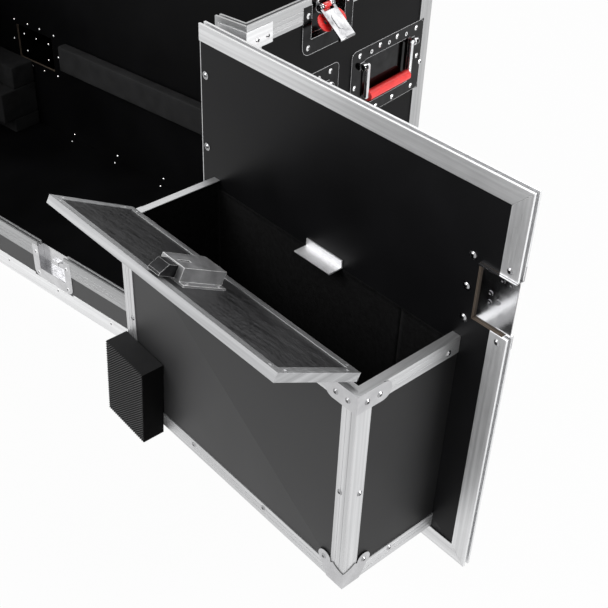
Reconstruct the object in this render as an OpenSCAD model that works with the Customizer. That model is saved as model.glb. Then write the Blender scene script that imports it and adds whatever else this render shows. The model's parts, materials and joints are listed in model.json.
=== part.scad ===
/* [Case] */
// Outside length of the case
case_l = 1275; // [1150:5:1500]
// Outside depth of the case, front to back
case_w = 450; // [420:5:560]
// Height of the case to the top of its rim
case_h = 717; // [690:1:800]
// Thickness of the plywood walls and floor
ply = 9.5; // [8:0.5:12]
// Thickness of the aluminium edge angles
alu = 1.5; // [1.2:0.1:2]
// Width of the fixed front stile beside each door
stile_w = 59; // [54:1:70]
// Height of the front sill to its outer flange
sill_h = 107; // [100:1:116]

/* [Edges] */
// Height of the rim extrusion's outer face
rim_face = 34; // [28:1:40]
// Height of the tongues on the rim
ridge_h = 8; // [5:1:10]
// Height of the sill extrusion's outer face
sill_face = 29; // [24:1:34]
// Width of the base angle's legs
base_leg = 35; // [25:1:40]
// Width of the upright corner angle's legs
corner_leg = 31; // [24:1:40]
// Length of a corner plate's arm
plate_arm = 54; // [44:1:64]

/* [Doors] */
// Angle the doors stand open at rest
door_open = 171.8; // [150:0.1:174]
// Half the gap between the two doors' meeting edges
door_w_gap = 1; // [0.5:0.1:3]
// Gap between the door's lower edge and the sill
door_sill_gap = 4; // [1:0.5:8]
// How far the door's top edge stays under the rim's top
door_drop = 4; // [0:0.5:8]
// Distance of the hinge axis in front of the case
hinge_reach = 7.2; // [6:0.1:9]
// Diameter of the door hinge's knuckles
knuckle_d = 10; // [8:0.5:11]
// Diameter of the door hinge's pin
pin_d = 5; // [4:0.5:6]
// Width of one leaf of the door hinge
leaf_w = 30; // [24:1:36]
// Width of the door extrusion's inner flange
door_flange = 25; // [20:1:30]
// Width of the door extrusion's outer flange
door_face = 30; // [26:1:34]
// Depth of the tongue and groove on the door's edge
tongue = 7; // [5:0.5:9]

/* [Accessory box] */
// Distance from the door hinge axis to the box
box_off = 29; // [25:1:40]
// Outside width of the box
box_w = 480; // [400:5:500]
// Outside depth of the box, from the door
box_d = 168.5; // [150:0.5:180]
// Outside height of the box
box_h = 338; // [300:1:345]
// Height of the box's underside above the floor
box_z = 146; // [144:1:180]
// Thickness of the box's plywood
box_ply = 9; // [6:0.5:10]
// Thickness of the box's aluminium trim
box_alu = 1.2; // [1:0.1:1.5]
// Thickness of the carpet lining
carpet = 2.5; // [1.5:0.5:4]
// Width of the aluminium along the box's rim
box_rim = 13; // [12:0.5:18]
// Width of the box's corner angles
box_leg = 24; // [18:1:30]

/* [Flap lid] */
// Angle the flap lid stands open at rest
flap_open = 151.2; // [120:0.1:155]
// Thickness of the flap lid
flap_t = 12; // [10:0.5:14]
// Gap all round the flap lid in its opening
flap_gap = 1.5; // [1:0.1:3]
// Depth of the flap lid from its hinge edge
flap_d = 142.5; // [120:0.5:145]
// Width of the aluminium border on the flap lid
flap_border = 12; // [8:1:16]
// Diameter of the flap hinge's knuckles
flap_knuckle = 5; // [4.5:0.1:6]
// Diameter of the flap hinge's pin
flap_pin = 2.5; // [2:0.1:3]

/* [Handles] */
// Width of a handle's face plate
handle_w = 190; // [170:1:200]
// Height of a handle's face plate
handle_h = 122; // [110:1:130]
// Depth of a handle's dish
handle_depth = 6; // [5:0.5:8]
// Distance between the two handles on an end wall
handle_pitch = 222; // [215:1:235]
// Distance of the end handles' centres below the rim's top
handle_drop = 179; // [150:1:230]
// Distance of the back handles' centres from the case's ends
back_handle_in = 184; // [150:1:300]
// Height of the back handles' centres above the floor
back_handle_z = 218.5; // [190:0.5:300]
// Diameter of the rubber grip
grip_d = 17; // [15:0.5:20]
// Diameter of the steel bail
bail_d = 8; // [6:0.5:9]

/* [Latches] */
// Width of a latch dish's face plate
latch_w = 116; // [108:1:124]
// Height of a latch dish's face plate
latch_h = 76; // [70:1:80]
// Width of a latch dish's pan
pan_w = 80; // [74:1:84]
// Height of a latch dish's pan
pan_h = 54; // [50:1:58]
// Distance of the lid latch forward of the middle of the end wall
lid_latch_fwd = 48; // [30:1:60]
// Distance of each door latch from the middle of the case
door_latch_x = 120; // [90:1:200]
// Distance of the meeting edge's dishes below the rim's top
meet_latch_drop = 159; // [120:1:400]

/* [Foam] */
// Thickness of the foam stack at each end of the case
end_foam_t = 155; // [60:1:180]
// Height of the foam strip on the back wall
strip_h = 62; // [40:1:80]
// Thickness of the foam strip on the back wall
strip_t = 25; // [15:1:40]
// Height of the foam strip's underside above the floor
strip_z = 203; // [170:1:230]
// Width of the foam bumper on the accessory box
bumper_w = 94; // [60:1:110]
// Height of the foam bumper on the accessory box
bumper_h = 142; // [100:1:150]
// Thickness of the foam bumper on the accessory box
bumper_t = 39; // [25:1:50]

/* [Fasteners] */
// Diameter of the rivets' heads
rivet_d = 8.5; // [7:0.5:10]
// Distance from rivet to rivet along the base
rivet_pitch = 157; // [120:1:180]

/* [Hidden] */
$fn = 48;
clear = 0.3;
slit = 0.2;
turn_clear = 0.05;
axis_set = 4;

// Heights and half sizes of the case that several pieces share
half_l = case_l / 2;
half_w = case_w / 2;
skin_l = half_l - alu;
skin_w = half_w - alu;
floor_top = alu + ply;
panel_top = case_h - ridge_h - alu;
rim_low = case_h - rim_face;
rim_t = ply + 2 * alu;
stile_x = half_l - stile_w;
handle_z = case_h - handle_drop;
back_handle_x = half_l - back_handle_in;
meet_latch_z = case_h - meet_latch_drop;
sill_top = sill_h - alu;
sill_ridge = sill_h + ridge_h;

// The door in its own frame: x runs from the hinge axis to the free edge, y runs inward, z is up
axis_x = stile_x - axis_set;
axis_y = -half_w - hinge_reach;
door_out = hinge_reach;
door_in = hinge_reach + rim_t;
door_x0 = 2;
door_x1 = axis_x - door_w_gap;
door_z0 = sill_ridge + door_sill_gap;
door_z1 = case_h - door_drop;
door_h = door_z1 - door_z0;

// The accessory box in the door's frame
box_x0 = box_off;
box_x1 = box_off + box_w;
board_face = door_in - alu;
box_y0 = board_face;
box_y1 = door_in + box_d;
box_z1 = box_z + box_h;
box_in = box_alu + box_ply;

// The flap lid's hinge axis and its closed place in the door's frame
flap_axis_y = box_y1 - box_rim + 1;
flap_axis_z = box_z1 + flap_knuckle / 2;
flap_x0 = box_x0 + box_rim + flap_gap;
flap_x1 = box_x1 - box_rim - flap_gap;
flap_y1 = box_y1 - box_rim - flap_gap;
flap_y0 = flap_y1 - flap_d;
flap_mid = (flap_x0 + flap_x1) / 2;

flap_z0 = box_z1 - flap_t;
flap_hinge_end = 20;
flap_hinge_l = flap_x1 - flap_x0 - 2 * flap_hinge_end;
flap_knuckles = 15;
flap_leaf = 11;
flap_leaf_t = 1;

// Strike plate and slam latch of the flap lid
strike_w = 70;
strike_d = 22;
strike_t = 2;
strike_leg = 11;
strike_z = flap_z0 - turn_clear;
slam_w = 43;
slam_l = 71;
slam_t = 20;
slam_wall = 2;
slam_ear = 9;
slam_screw = 6;
slam_slot = 5;
slam_in = 26.5;
slam_y = flap_y0 + slam_in;
bolt_w = 22;
bolt_travel = 9;
strike_tip = door_in + strike_d - bolt_travel + 1;
bevel = 40;
bolt_nose = 4;

// Extrusion and plate details
rim_seam = case_h - ridge_h - 1;
tongue_w = 3.5;
tongue_drop = 1;
inner_leg = 22;
groove_w = 1.2;
groove_d = 0.6;
plate_drop = 3;
box_side = 25;
box_groove = 0.8;
hinge_end = 3;
door_knuckles = 15;
leaf_lap = 0.6;
door_hinge_l = rim_low - plate_drop - clear - door_z0 - hinge_end;

// Handle dish, its lugs and the bail in it
plate_r = 10;
dish_w = 128;
dish_h = 80;
dish_r = 8;
lug_t = 8;
pivot_y = 31;
grip_gap = 2;
pivot_z = alu - handle_depth + grip_gap + grip_d / 2;
bail_half = dish_w / 2 - bail_d / 2 - 2;
grip_y = -23;
grip_half = bail_half - bail_d / 2 - clear;

// Latch dish and the parts that turn in it
latch_r = 16;
pan_t = 14;
edge_pan_t = 5.5;
edge_keeper_top = -0.8;
latch_pin_y = -14;
latch_pin_z = -4.5;
latch_pin_d = 4;
latch_boss_d = 26;
latch_boss_h = 3;
latch_lug_t = 3;
lug_in = 8;
eye_d = 9;
link_w = 33;
link_l = 55;
link_t = 2;
link_eye_w = 5;
link_roll = 6;
link_boss = 0.8;
link_oval = 13;
link_rest = 130;
wing_rest = 137;
wing_t = 1.5;
wing_eye_half = 7.5;
wing_lobe_x = 15.5;
wing_lobe_y = 22;
wing_lobe_r = 14;
wing_hole = 6;
keeper_w = 20;
keeper_t = 4;
keeper_y = 22;
keeper_top = -6.6;
door_foot_x = axis_x - door_latch_x;

// Rivet places: along the base, round a latch dish, round a handle dish and on a corner plate
rivet_t = 1.6;
rivet_z = 24.5;
rivet_in = 34;
rivet_x0 = half_l - rivet_in;
rivet_n = floor(2 * rivet_x0 / rivet_pitch) + 1;
latch_rivets = [[46, -15.5], [44.5, -64.5]];
handle_rivets = [[74.5, 50.5], [22.5, 52], [84, -1], [74.5, -52], [22.5, -54]];
handle_rings = [[0, 49.5], [46, 49]];
pan_tails = [[0, 20], [46, 20], [40, -22]];
latch_tails = [[0, -30], [9, -46]];
edge_rings = [[29.4, -23], [29.4, -11], [4.4, -36.5], [-8, -35.8], [-2.1, -24.5]];
corner_rivet_pitch = 166;
plate_rivets = [21.4, 42.6];
plate_rivet_z = 9;
tail_d = 6.5;
tail_t = 1.5;
tail_in = 9;
ring_d = 7;
ring_hole = 3;
ring_t = 1;
washer_d = 12;
washer_in = 9;
washer_t = 0.8;
hinge_screws = 5;
hinge_screw_x = 14;
hinge_screw_in = 73;
hinge_screw_pitch = (door_h - 2 * hinge_screw_in) / (hinge_screws - 1);
edge_rivet_pitch = 101;
box_rivet_in = 17;

// Corner brackets at the top of the accessory box and braces at its bottom corners
bracket_w = 54;
bracket_h = 28;
bracket_rivets = [14.5, 34.5];
bracket_rivet_drop = 15.5;
brace_x = 35.5;
brace_z = 33;
brace_r = 11.5;
brace_foot = 30;
brace_arc_z = 60.7;
brace_arc_r = 31.7;

// Foam places and the steps of the foam blocks
strip_gap = 22.5;
strip_half = back_handle_x - handle_w / 2 - strip_gap;
sill_strip_z = 70;
sill_strip_h = 34;
sill_strip_t = 12;
foam_top = [floor_top, 47, 125, 181];
foam_deep = [75, 105, 65];
foam_back = skin_w - ply - tail_t - clear;
bumper_x = 68;
bumper_z = 204;
bumper_turn = 4;

// Common small shapes
module block(low, high) { translate(low) cube(high - low); }

module rounded(w, h, r) {
    square([w - 2 * r, h], center = true);
    square([w, h - 2 * r], center = true);
    for (x = [r - w / 2, w / 2 - r], y = [r - h / 2, h / 2 - r]) translate([x, y]) circle(r);
}

// A rod along x
module rod_x(from, to, d) { translate([from, 0, 0]) rotate([0, 90, 0]) cylinder(d = d, h = to - from); }

// A rivet head standing on z = 0
module rivet() { cylinder(d1 = rivet_d, d2 = rivet_d / 2, h = rivet_t, $fn = 24); }

// A rivet's closed tail inside the case, and a hollow rivet
module tail() { cylinder(d1 = tail_d, d2 = tail_d / 2, h = tail_t, $fn = 24); }

module ring_rivet() {
    difference() {
        cylinder(d = ring_d, h = ring_t, $fn = 24);
        translate([0, 0, -1]) cylinder(d = ring_hole, h = ring_t + 2, $fn = 24);
    }
}

// Rivets at a list of places, mirrored to both sides of x = 0
module paired_rivets(places) {
    for (p = places, side = [-1, 1]) translate([side * p[0], p[1], alu]) rivet();
}

// The tails of the same rivets on the inner side of a wall
module paired_tails(places, depth) {
    for (p = places, side = p[0] == 0 ? [1] : [-1, 1])
        translate([side * p[0], p[1], -depth]) rotate([180, 0, 0]) tail();
}

// All fixings of one handle plate, seen from outside and from inside
module handle_fixings() {
    paired_rivets(handle_rivets);
    paired_tails(handle_rivets, ply);
    paired_tails(pan_tails, handle_depth);
    for (p = handle_rings, side = p[0] == 0 ? [1] : [-1, 1]) translate([side * p[0], p[1], alu]) ring_rivet();
}

// Places on the walls: local x runs right and y runs up as seen from outside, z stands out of the wall
module on_right_end(y, z) { translate([skin_l, y, z]) rotate([90, 0, 90]) children(); }
module on_left_end(y, z) { translate([-skin_l, y, z]) rotate([90, 0, -90]) children(); }
module on_back(x, z) { translate([x, skin_w, z]) rotate([90, 0, 180]) children(); }
module on_front(x, z) { translate([x, -skin_w, z]) rotate([90, 0, 0]) children(); }

// The doors: the right one mirrors the left one
module on_left_door() { translate([-axis_x, axis_y, 0]) rotate([0, 0, -door_open]) children(); }
module on_right_door() { mirror([1, 0, 0]) on_left_door() children(); }

// Places on a door's outer face for the latches at its lower edge and at its free edge
module at_door_foot() {
    translate([door_foot_x, door_out + alu, door_z0]) rotate([0, 180, 0]) rotate([90, 0, 0]) children();
}

module at_door_edge() {
    translate([door_x1, door_out + alu, meet_latch_z]) rotate([0, 90, 0]) rotate([90, 0, 0]) children();
}

// Cut-outs that the hardware needs in a wall, drawn through it from its outer face
module handle_hole(depth) {
    translate([-dish_w / 2 - alu - slit, -dish_h / 2 - alu - slit, -depth])
        cube([dish_w + 2 * (alu + slit), dish_h + 2 * (alu + slit), 2 * depth]);
}

module handle_notch() {
    translate([-handle_w / 2 - slit, -handle_h / 2 - slit, 0])
        cube([handle_w + 2 * slit, handle_h + 2 * slit, 2 * alu]);
}

module latch_hole(depth) {
    translate([-pan_w / 2 - slit, -pan_h - slit, -depth])
        cube([pan_w + 2 * slit, pan_h + slit + 2 * ridge_h, depth + 2 * alu]);
}

// Notch for a latch dish's face plate, cut only from the aluminium round it
module latch_notch() {
    translate([-latch_w / 2 - slit, -latch_h - slit, 0]) cube([latch_w + 2 * slit, latch_h + slit, 2 * alu]);
}

module each_end_handle() {
    for (y = [-handle_pitch / 2, handle_pitch / 2]) on_right_end(y, handle_z) children();
}

module at_lid_latch() { on_right_end(-lid_latch_fwd, rim_seam) children(); }
module at_sill_latch(x) { on_front(x, sill_h) children(); }

// Plywood walls
module floor_panel() {
    color("#1b1b1c") difference() {
        block([-skin_l, -skin_w, 0], [skin_l, skin_w, floor_top]);
        ring(-1, alu, 0, base_leg + slit);
    }
}

module back_panel() {
    color("#1b1b1c") difference() {
        block([ply - skin_l, skin_w - ply, floor_top], [skin_l - ply, skin_w, panel_top]);
        for (x = [-back_handle_x, back_handle_x]) on_back(x, back_handle_z) handle_hole(3 * ply);
    }
}

module right_end_panel() {
    color("#1b1b1c") difference() {
        block([skin_l - ply, -skin_w, floor_top], [skin_l, skin_w, panel_top]);
        each_end_handle() handle_hole(3 * ply);
        at_lid_latch() latch_hole(3 * ply);
    }
}

module left_end_panel() { mirror([1, 0, 0]) right_end_panel(); }

module sill_panel() {
    color("#1b1b1c") difference() {
        block([-stile_x, -skin_w, floor_top], [stile_x + alu, ply - skin_w, sill_top]);
        block([stile_x, -half_w, base_leg], [half_l, 0, case_h]);
        block([-half_l, -half_w, base_leg], [-stile_x, 0, case_h]);
        for (x = [-door_latch_x, door_latch_x]) at_sill_latch(x) latch_hole(3 * ply);
    }
}

module stile_panels() {
    color("#1b1b1c") for (side = [0, 1]) mirror([side, 0, 0])
        block([stile_x + alu, -skin_w, floor_top], [skin_l - ply, ply - skin_w, panel_top]);
}

// A closed frame of one wall thickness, set in from the outside of the case
module ring(z0, z1, inset, width) {
    translate([0, 0, z0]) linear_extrude(z1 - z0) difference() {
        square([case_l - 2 * inset, case_w - 2 * inset], center = true);
        square([case_l - 2 * (inset + width), case_w - 2 * (inset + width)], center = true);
    }
}

// Thin slits that part a ring at its four mitred corners
module mitre_slits(z0, z1) {
    at_corners() translate([half_l, half_w, z0]) rotate([0, 0, 45]) translate([-2 * base_leg, -slit / 2, -1])
            cube([4 * base_leg, slit, z1 - z0 + 2]);
}

// The same thing at all four upright corners
module at_corners() { for (sx = [0, 1], sy = [0, 1]) mirror([sx, 0, 0]) mirror([0, sy, 0]) children(); }

// The same thing on both ends
module at_both_ends() { for (side = [0, 1]) mirror([side, 0, 0]) children(); }

module base_angles() {
    color("#c9cbce") difference() {
        union() {
            ring(0, base_leg, 0, alu);
            ring(0, alu, 0, base_leg);
        }
        mitre_slits(0, base_leg);
        for (x = [-door_latch_x, door_latch_x]) at_sill_latch(x) latch_notch();
    }
}

// Upright angles at the corners, and the channels on the stiles' free edges
module corner_angles() {
    color("#c9cbce") {
        at_corners() difference() {
            block([half_l - corner_leg, half_w - corner_leg, base_leg + slit],
                [half_l, half_w, rim_low - slit]);
            block([0, 0, 0], [skin_l, skin_w, case_h]);
            on_right_end(handle_pitch / 2, handle_z) handle_notch();
        }
        at_both_ends() difference() {
            block([stile_x, -half_w, base_leg + slit],
                [half_l - corner_leg - slit, rim_t - half_w, rim_low - slit]);
            block([stile_x + alu, -skin_w, 0], [half_l, ply - skin_w, case_h]);
            block([stile_x + corner_leg - 2 * alu, 0 - half_w + alu, 0], [half_l, 0, case_h]);
        }
    }
}

// Tongued extrusion: a grooved outer face, a cap over the plywood, two tongues and an inner leg
module tongued_rim(top, cap, face) {
    difference() {
        union() {
            ring(cap - face, cap, 0, alu);
            ring(cap - alu, cap, 0, rim_t);
            ring(cap - inner_leg, cap, rim_t - alu, alu);
            ring(cap - alu, top, 0, tongue_w);
            ring(cap - alu, top - tongue_drop, rim_t - tongue_w, tongue_w);
        }
        for (k = [1 : 3]) ring(cap - k * face / 4, cap - k * face / 4 + groove_w, -1, 1 + groove_d);
    }
}

module rim_extrusions() {
    color("#c9cbce") {
        difference() {
            tongued_rim(case_h, case_h - ridge_h, rim_face - ridge_h);
            block([-stile_x, -half_w - 1, 0], [stile_x, 2 * rim_t - half_w, 2 * case_h]);
            mitre_slits(rim_low, case_h);
            at_both_ends() at_lid_latch() {
                latch_hole(2 * rim_t);
                latch_notch();
            }
        }
        difference() {
            intersection() {
                tongued_rim(sill_ridge, sill_h, sill_face);
                block([slit - stile_x, -half_w - 1, 0], [stile_x - slit, 2 * rim_t - half_w, case_h]);
            }
            for (x = [-door_latch_x, door_latch_x]) at_sill_latch(x) {
                latch_hole(2 * rim_t);
                latch_notch();
            }
        }
    }
}

// Pressed plates over the rim's corners
module corner_plates() {
    color("#9fa1a4") at_corners() difference() {
        translate([half_l + alu - plate_arm, half_w + alu - plate_arm, rim_low - plate_drop])
            cube([plate_arm, plate_arm, rim_face + plate_drop - ridge_h]);
        block([0, 0, 0], [half_l + slit, half_w + slit, 2 * case_h]);
    }
}

// Dishes and their loose parts, drawn on a wall's outer face
module handle_dish() {
    difference() {
        union() {
            linear_extrude(alu) rounded(handle_w, handle_h, plate_r);
            translate([0, 0, -handle_depth]) linear_extrude(handle_depth + alu / 2)
                rounded(dish_w + 2 * alu, dish_h + 2 * alu, dish_r + alu);
            for (side = [0, 1]) mirror([side, 0, 0]) {
                translate([dish_w / 2, pivot_y - pivot_z, 0]) cube([lug_t, 2 * pivot_z, pivot_z]);
                translate([0, pivot_y, pivot_z]) rod_x(dish_w / 2, dish_w / 2 + lug_t, 2 * pivot_z);
            }
        }
        translate([0, 0, alu - handle_depth]) linear_extrude(2 * handle_depth)
            rounded(dish_w, dish_h, dish_r);
        translate([0, pivot_y, pivot_z]) rod_x(-handle_w / 2, handle_w / 2, bail_d + 2 * turn_clear);
    }
}

module bail() {
    translate([0, 0, pivot_z]) {
        for (side = [0, 1]) mirror([side, 0, 0]) {
            translate([0, pivot_y, 0]) rod_x(bail_half, dish_w / 2 + lug_t - clear, bail_d);
            translate([bail_half, grip_y, 0]) rotate([-90, 0, 0]) cylinder(d = bail_d, h = pivot_y - grip_y);
            translate([bail_half, pivot_y, 0]) sphere(d = bail_d);
            translate([bail_half, grip_y, 0]) sphere(d = bail_d);
        }
        translate([0, grip_y, 0]) rod_x(-bail_half, bail_half, bail_d);
    }
}

module grip() {
    translate([0, grip_y, pivot_z]) difference() {
        rod_x(-grip_half, grip_half, grip_d);
        rod_x(-bail_half, bail_half, bail_d + 2 * turn_clear);
    }
}

module latch_face() {
    translate([-latch_w / 2, latch_r - latch_h]) square([latch_w, latch_h - latch_r]);
    translate([latch_r - latch_w / 2, -latch_h]) square([latch_w - 2 * latch_r, latch_h]);
    for (x = [-1, 1]) translate([x * (latch_w / 2 - latch_r), latch_r - latch_h]) circle(latch_r);
}

module latch_dish(depth) {
    difference() {
        union() {
            linear_extrude(alu) latch_face();
            translate([-pan_w / 2, -pan_h, -depth]) cube([pan_w, pan_h, depth + alu / 2]);
        }
        translate([alu - pan_w / 2, alu - pan_h, alu - depth]) cube([pan_w - 2 * alu, pan_h, 2 * pan_t]);
    }
}

// Round base with two lugs and the cross pin that the link and the wing turn on
module latch_mount() {
    translate([0, latch_pin_y, alu - pan_t]) cylinder(d = latch_boss_d, h = latch_boss_h);
    for (side = [0, 1]) mirror([side, 0, 0]) {
        translate([lug_in, latch_pin_y - eye_d / 2, alu - pan_t])
            cube([latch_lug_t, eye_d, latch_pin_z + pan_t - alu]);
        translate([0, latch_pin_y, latch_pin_z]) rod_x(lug_in, lug_in + latch_lug_t, eye_d);
    }
    translate([0, latch_pin_y, latch_pin_z]) rod_x(-link_w / 2, link_w / 2, latch_pin_d);
}

// Hook that a link draws on
module latch_keeper(depth, top) {
    translate([-keeper_w / 2, -keeper_y - keeper_t, alu - depth])
        cube([keeper_w, keeper_t, depth - alu + top]);
    translate([-keeper_w / 2, -keeper_y - 2 * keeper_t, top - alu]) cube([keeper_w, 2 * keeper_t, alu]);
}

module at_latch_pin(angle) { translate([0, latch_pin_y, latch_pin_z]) rotate([angle, 0, 0]) children(); }

// The link: a strap with two eyes, a raised oval and a rolled end
module latch_link() {
    at_latch_pin(link_rest) {
        for (side = [0, 1]) mirror([side, 0, 0]) difference() {
            union() {
                rod_x(link_w / 2 - link_eye_w, link_w / 2, eye_d);
                translate([link_w / 2 - link_eye_w, 0, -link_t / 2])
                    cube([link_eye_w, eye_d + clear * 4, link_t]);
            }
            rod_x(0, link_w, latch_pin_d + 2 * turn_clear);
        }
        translate([-link_w / 2, eye_d, -link_t / 2]) cube([link_w, link_l - eye_d, link_t]);
        translate([0, link_l, link_roll / 2 - link_t / 2]) rod_x(-link_w / 2, link_w / 2, link_roll);
        translate([0, link_l / 2 + 2, -link_t / 2 - link_boss]) linear_extrude(2 * link_boss) {
            translate([0, -link_oval / 2]) circle(link_oval / 2);
            translate([0, link_oval / 2]) circle(link_oval / 2);
            square(link_oval, center = true);
        }
    }
}

// The wing: a two-lobed plate with an eye and a neck
module latch_wing() {
    at_latch_pin(wing_rest) difference() {
        union() {
            rod_x(-wing_eye_half, wing_eye_half, eye_d);
            translate([-wing_eye_half, 0, eye_d / 2 - wing_t]) cube([2 * wing_eye_half, 1.5 * eye_d, wing_t]);
            translate([0, 0, eye_d / 2 - wing_t]) linear_extrude(wing_t) {
                for (x = [-1, 1]) translate([x * wing_lobe_x, wing_lobe_y]) circle(wing_lobe_r);
                translate([-wing_lobe_x, wing_lobe_y - wing_lobe_r + 2])
                    square([2 * wing_lobe_x, 2 * wing_lobe_r - 6]);
            }
        }
        rod_x(-link_w, link_w, latch_pin_d + 2 * turn_clear);
        translate([-wing_lobe_x, wing_lobe_y, 0]) cylinder(d = wing_hole, h = eye_d);
    }
}

module lid_latch_dishes() {
    color("#3a3c3e") at_both_ends() at_lid_latch() {
        latch_dish(pan_t);
        latch_mount();
    }
}

module sill_keepers() {
    color("#3a3c3e") for (x = [-door_latch_x, door_latch_x]) at_sill_latch(x) {
        latch_dish(pan_t);
        latch_keeper(pan_t, keeper_top);
    }
}

module end_handle_dishes() { color("#3a3c3e") at_both_ends() each_end_handle() handle_dish(); }

module back_handle_dishes() {
    color("#3a3c3e") for (x = [-back_handle_x, back_handle_x]) on_back(x, back_handle_z) handle_dish();
}

module case_rivets() {
    color("#dfe1e3") {
        for (k = [0 : rivet_n - 1]) {
            on_front(rivet_x0 - k * rivet_pitch, rivet_z) translate([0, 0, alu]) rivet();
            on_back(rivet_x0 - k * rivet_pitch, rivet_z) translate([0, 0, alu]) rivet();
            if (k > 0 && k < rivet_n - 1) for (side = [0, 1]) mirror([0, side, 0]) {
                on_back(rivet_x0 - k * rivet_pitch, rivet_z)
                    translate([0, 0, -ply]) rotate([180, 0, 0]) tail();
                translate([rivet_x0 - k * rivet_pitch, skin_w - ply - tail_in, floor_top]) tail();
            }
        }
        at_both_ends() {
            on_right_end(0, rivet_z) paired_rivets([[handle_pitch / 2, 0]]);
            at_lid_latch() {
                paired_rivets(latch_rivets);
                paired_tails(latch_tails, pan_t);
            }
            each_end_handle() handle_fixings();
        }
        for (x = [-door_latch_x, door_latch_x]) at_sill_latch(x) paired_rivets(latch_rivets);
        for (x = [-back_handle_x, back_handle_x]) on_back(x, back_handle_z) handle_fixings();
        at_corners() for (turn = [0, 1]) {
            for (k = [1 : 3])
                at_corner_face(turn, corner_leg * 0.6, rivet_z + k * corner_rivet_pitch) rivet();
            for (t = plate_rivets)
                at_corner_face(turn, t, rim_low + plate_rivet_z) translate([0, 0, alu]) rivet();
        }
    }
}

// A place on one of the two outer faces beside a corner, at a distance from that corner
module at_corner_face(turn, t, z) {
    if (turn == 0) translate([half_l, half_w - t, z]) rotate([0, 90, 0]) children();
    else translate([half_l - t, half_w, z]) rotate([-90, 0, 0]) children();
}

// One leaf of a piano hinge along z: knuckles at every second place, and the pin on the fixed leaf
module hinge_leaf(n, pitch, first, kd, pd, wide, thick, face, fixed) {
    difference() {
        union() {
            difference() {
                translate([slit, face - thick, 0]) cube([wide, thick, n * pitch]);
                translate([0, 0, -1]) cylinder(d = kd + 2 * clear, h = n * pitch + 2);
            }
            for (k = [first : 2 : n - 1]) translate([0, 0, k * pitch + slit / 2]) {
                cylinder(d = kd, h = pitch - slit);
                translate([0, face - thick, 0]) cube([kd, thick, pitch - slit]);
            }
        }
        if (!fixed) translate([0, 0, -1]) cylinder(d = pd + 2 * turn_clear, h = n * pitch + 2);
    }
    if (fixed) cylinder(d = pd, h = n * pitch);
}

module door_leaf(fixed) {
    translate([0, 0, door_z0 + hinge_end])
        hinge_leaf(door_knuckles, door_hinge_l / door_knuckles, fixed ? 0 : 1, knuckle_d, pin_d,
            leaf_w, hinge_reach - knuckle_d / 2 + leaf_lap, hinge_reach, fixed);
}

module door_hinge_fixed_leaves() {
    color("#a9abae") at_both_ends() translate([axis_x, axis_y, 0]) door_leaf(true);
}

// Foam in the case
module back_foam_strips() {
    color("#202022") block([-strip_half, skin_w - ply - clear - strip_t, strip_z],
        [strip_half, skin_w - ply - clear, strip_z + strip_h]);
}

module sill_foam_strips() {
    color("#202022") at_both_ends() for (span = [[clear, door_latch_x - latch_w / 2],
        [door_latch_x + latch_w / 2, stile_x - clear]])
        block([span[0], rim_t - half_w + clear, sill_strip_z],
            [span[1], rim_t - half_w + sill_strip_t, sill_strip_z + sill_strip_h]);
}

module end_foam_blocks() {
    color("#202022") at_both_ends() for (k = [0 : len(foam_top) - 2])
        block([skin_l - ply - clear - end_foam_t, foam_back - foam_deep[k], foam_top[k] + clear],
            [skin_l - ply - clear, foam_back, foam_top[k + 1]]);
}

// Doors
module door_band(y0, y1, t0, t1) {
    difference() {
        block([door_x0, door_out + y0, door_z0 + t0], [door_x1 - t0, door_out + y1, door_z1 - t0]);
        block([door_x0 - 1, door_out + y0 - 1, door_z0 + t1],
            [door_x1 - t1, door_out + y1 + 1, door_z1 - t1]);
    }
}

module door_board() {
    difference() {
        block([door_x0 + alu, door_out + alu, door_z0 + tongue + alu],
            [door_x1 - tongue - alu, board_face, door_z1 - tongue - alu]);
        at_door_foot() latch_hole(2 * rim_t);
        at_door_edge() latch_hole(2 * rim_t);
    }
}

module door_edging() {
    difference() {
        union() {
            door_band(0, tongue_w, 0, tongue + alu);
            door_band(rim_t - tongue_w, rim_t, 0, tongue + alu);
            door_band(0, rim_t, tongue, tongue + alu);
            door_band(0, alu, 0, door_face);
            door_band(rim_t - alu, rim_t, 0, door_flange);
            difference() {
                block([door_x0, door_out, door_z0 + tongue + alu],
                    [door_x0 + door_flange, board_face, door_z1 - tongue - alu]);
                block([door_x0 + alu, door_out + alu, 0], [door_x1, door_in, case_h]);
            }
        }
        block([box_x0 - clear, board_face, box_z - clear],
            [box_x1 + clear, door_in + alu, box_z1 + clear]);
        for (z = [door_z0, door_z1])
            translate([door_x1, door_out, z]) rotate([0, z == door_z0 ? 45 : -45, 0])
                translate([-3 * door_face, -1, -slit / 2]) cube([4 * door_face, 2 * rim_t, slit]);
        at_door_foot() {
            latch_hole(2 * rim_t);
            latch_notch();
        }
        at_door_edge() {
            latch_hole(2 * rim_t);
            latch_notch();
        }
    }
}

module door_dish_set() {
    at_door_foot() {
        latch_dish(pan_t);
        latch_mount();
    }
    at_door_edge() {
        latch_dish(edge_pan_t);
        latch_keeper(edge_pan_t, edge_keeper_top);
        translate([-pan_w / 2, -pan_h, -rim_t - alu]) cube([alu, pan_h, rim_t + alu - edge_pan_t + alu / 2]);
    }
}

module right_door_panel() { color("#1b1b1c") on_right_door() door_board(); }
module left_door_panel() { color("#1b1b1c") on_left_door() door_board(); }
module right_door_extrusion() { color("#c9cbce") on_right_door() door_edging(); }
module left_door_extrusion() { color("#c9cbce") on_left_door() door_edging(); }
module right_door_hinge_leaf() { color("#a9abae") on_right_door() door_leaf(false); }
module left_door_hinge_leaf() { color("#a9abae") on_left_door() door_leaf(false); }
module right_door_dishes() { color("#3a3c3e") on_right_door() door_dish_set(); }
module left_door_dishes() { color("#3a3c3e") on_left_door() door_dish_set(); }

// A rivet on a washer
module washer_rivet() {
    cylinder(d = washer_d, h = washer_t, $fn = 24);
    translate([0, 0, washer_t]) rivet();
}

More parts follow.
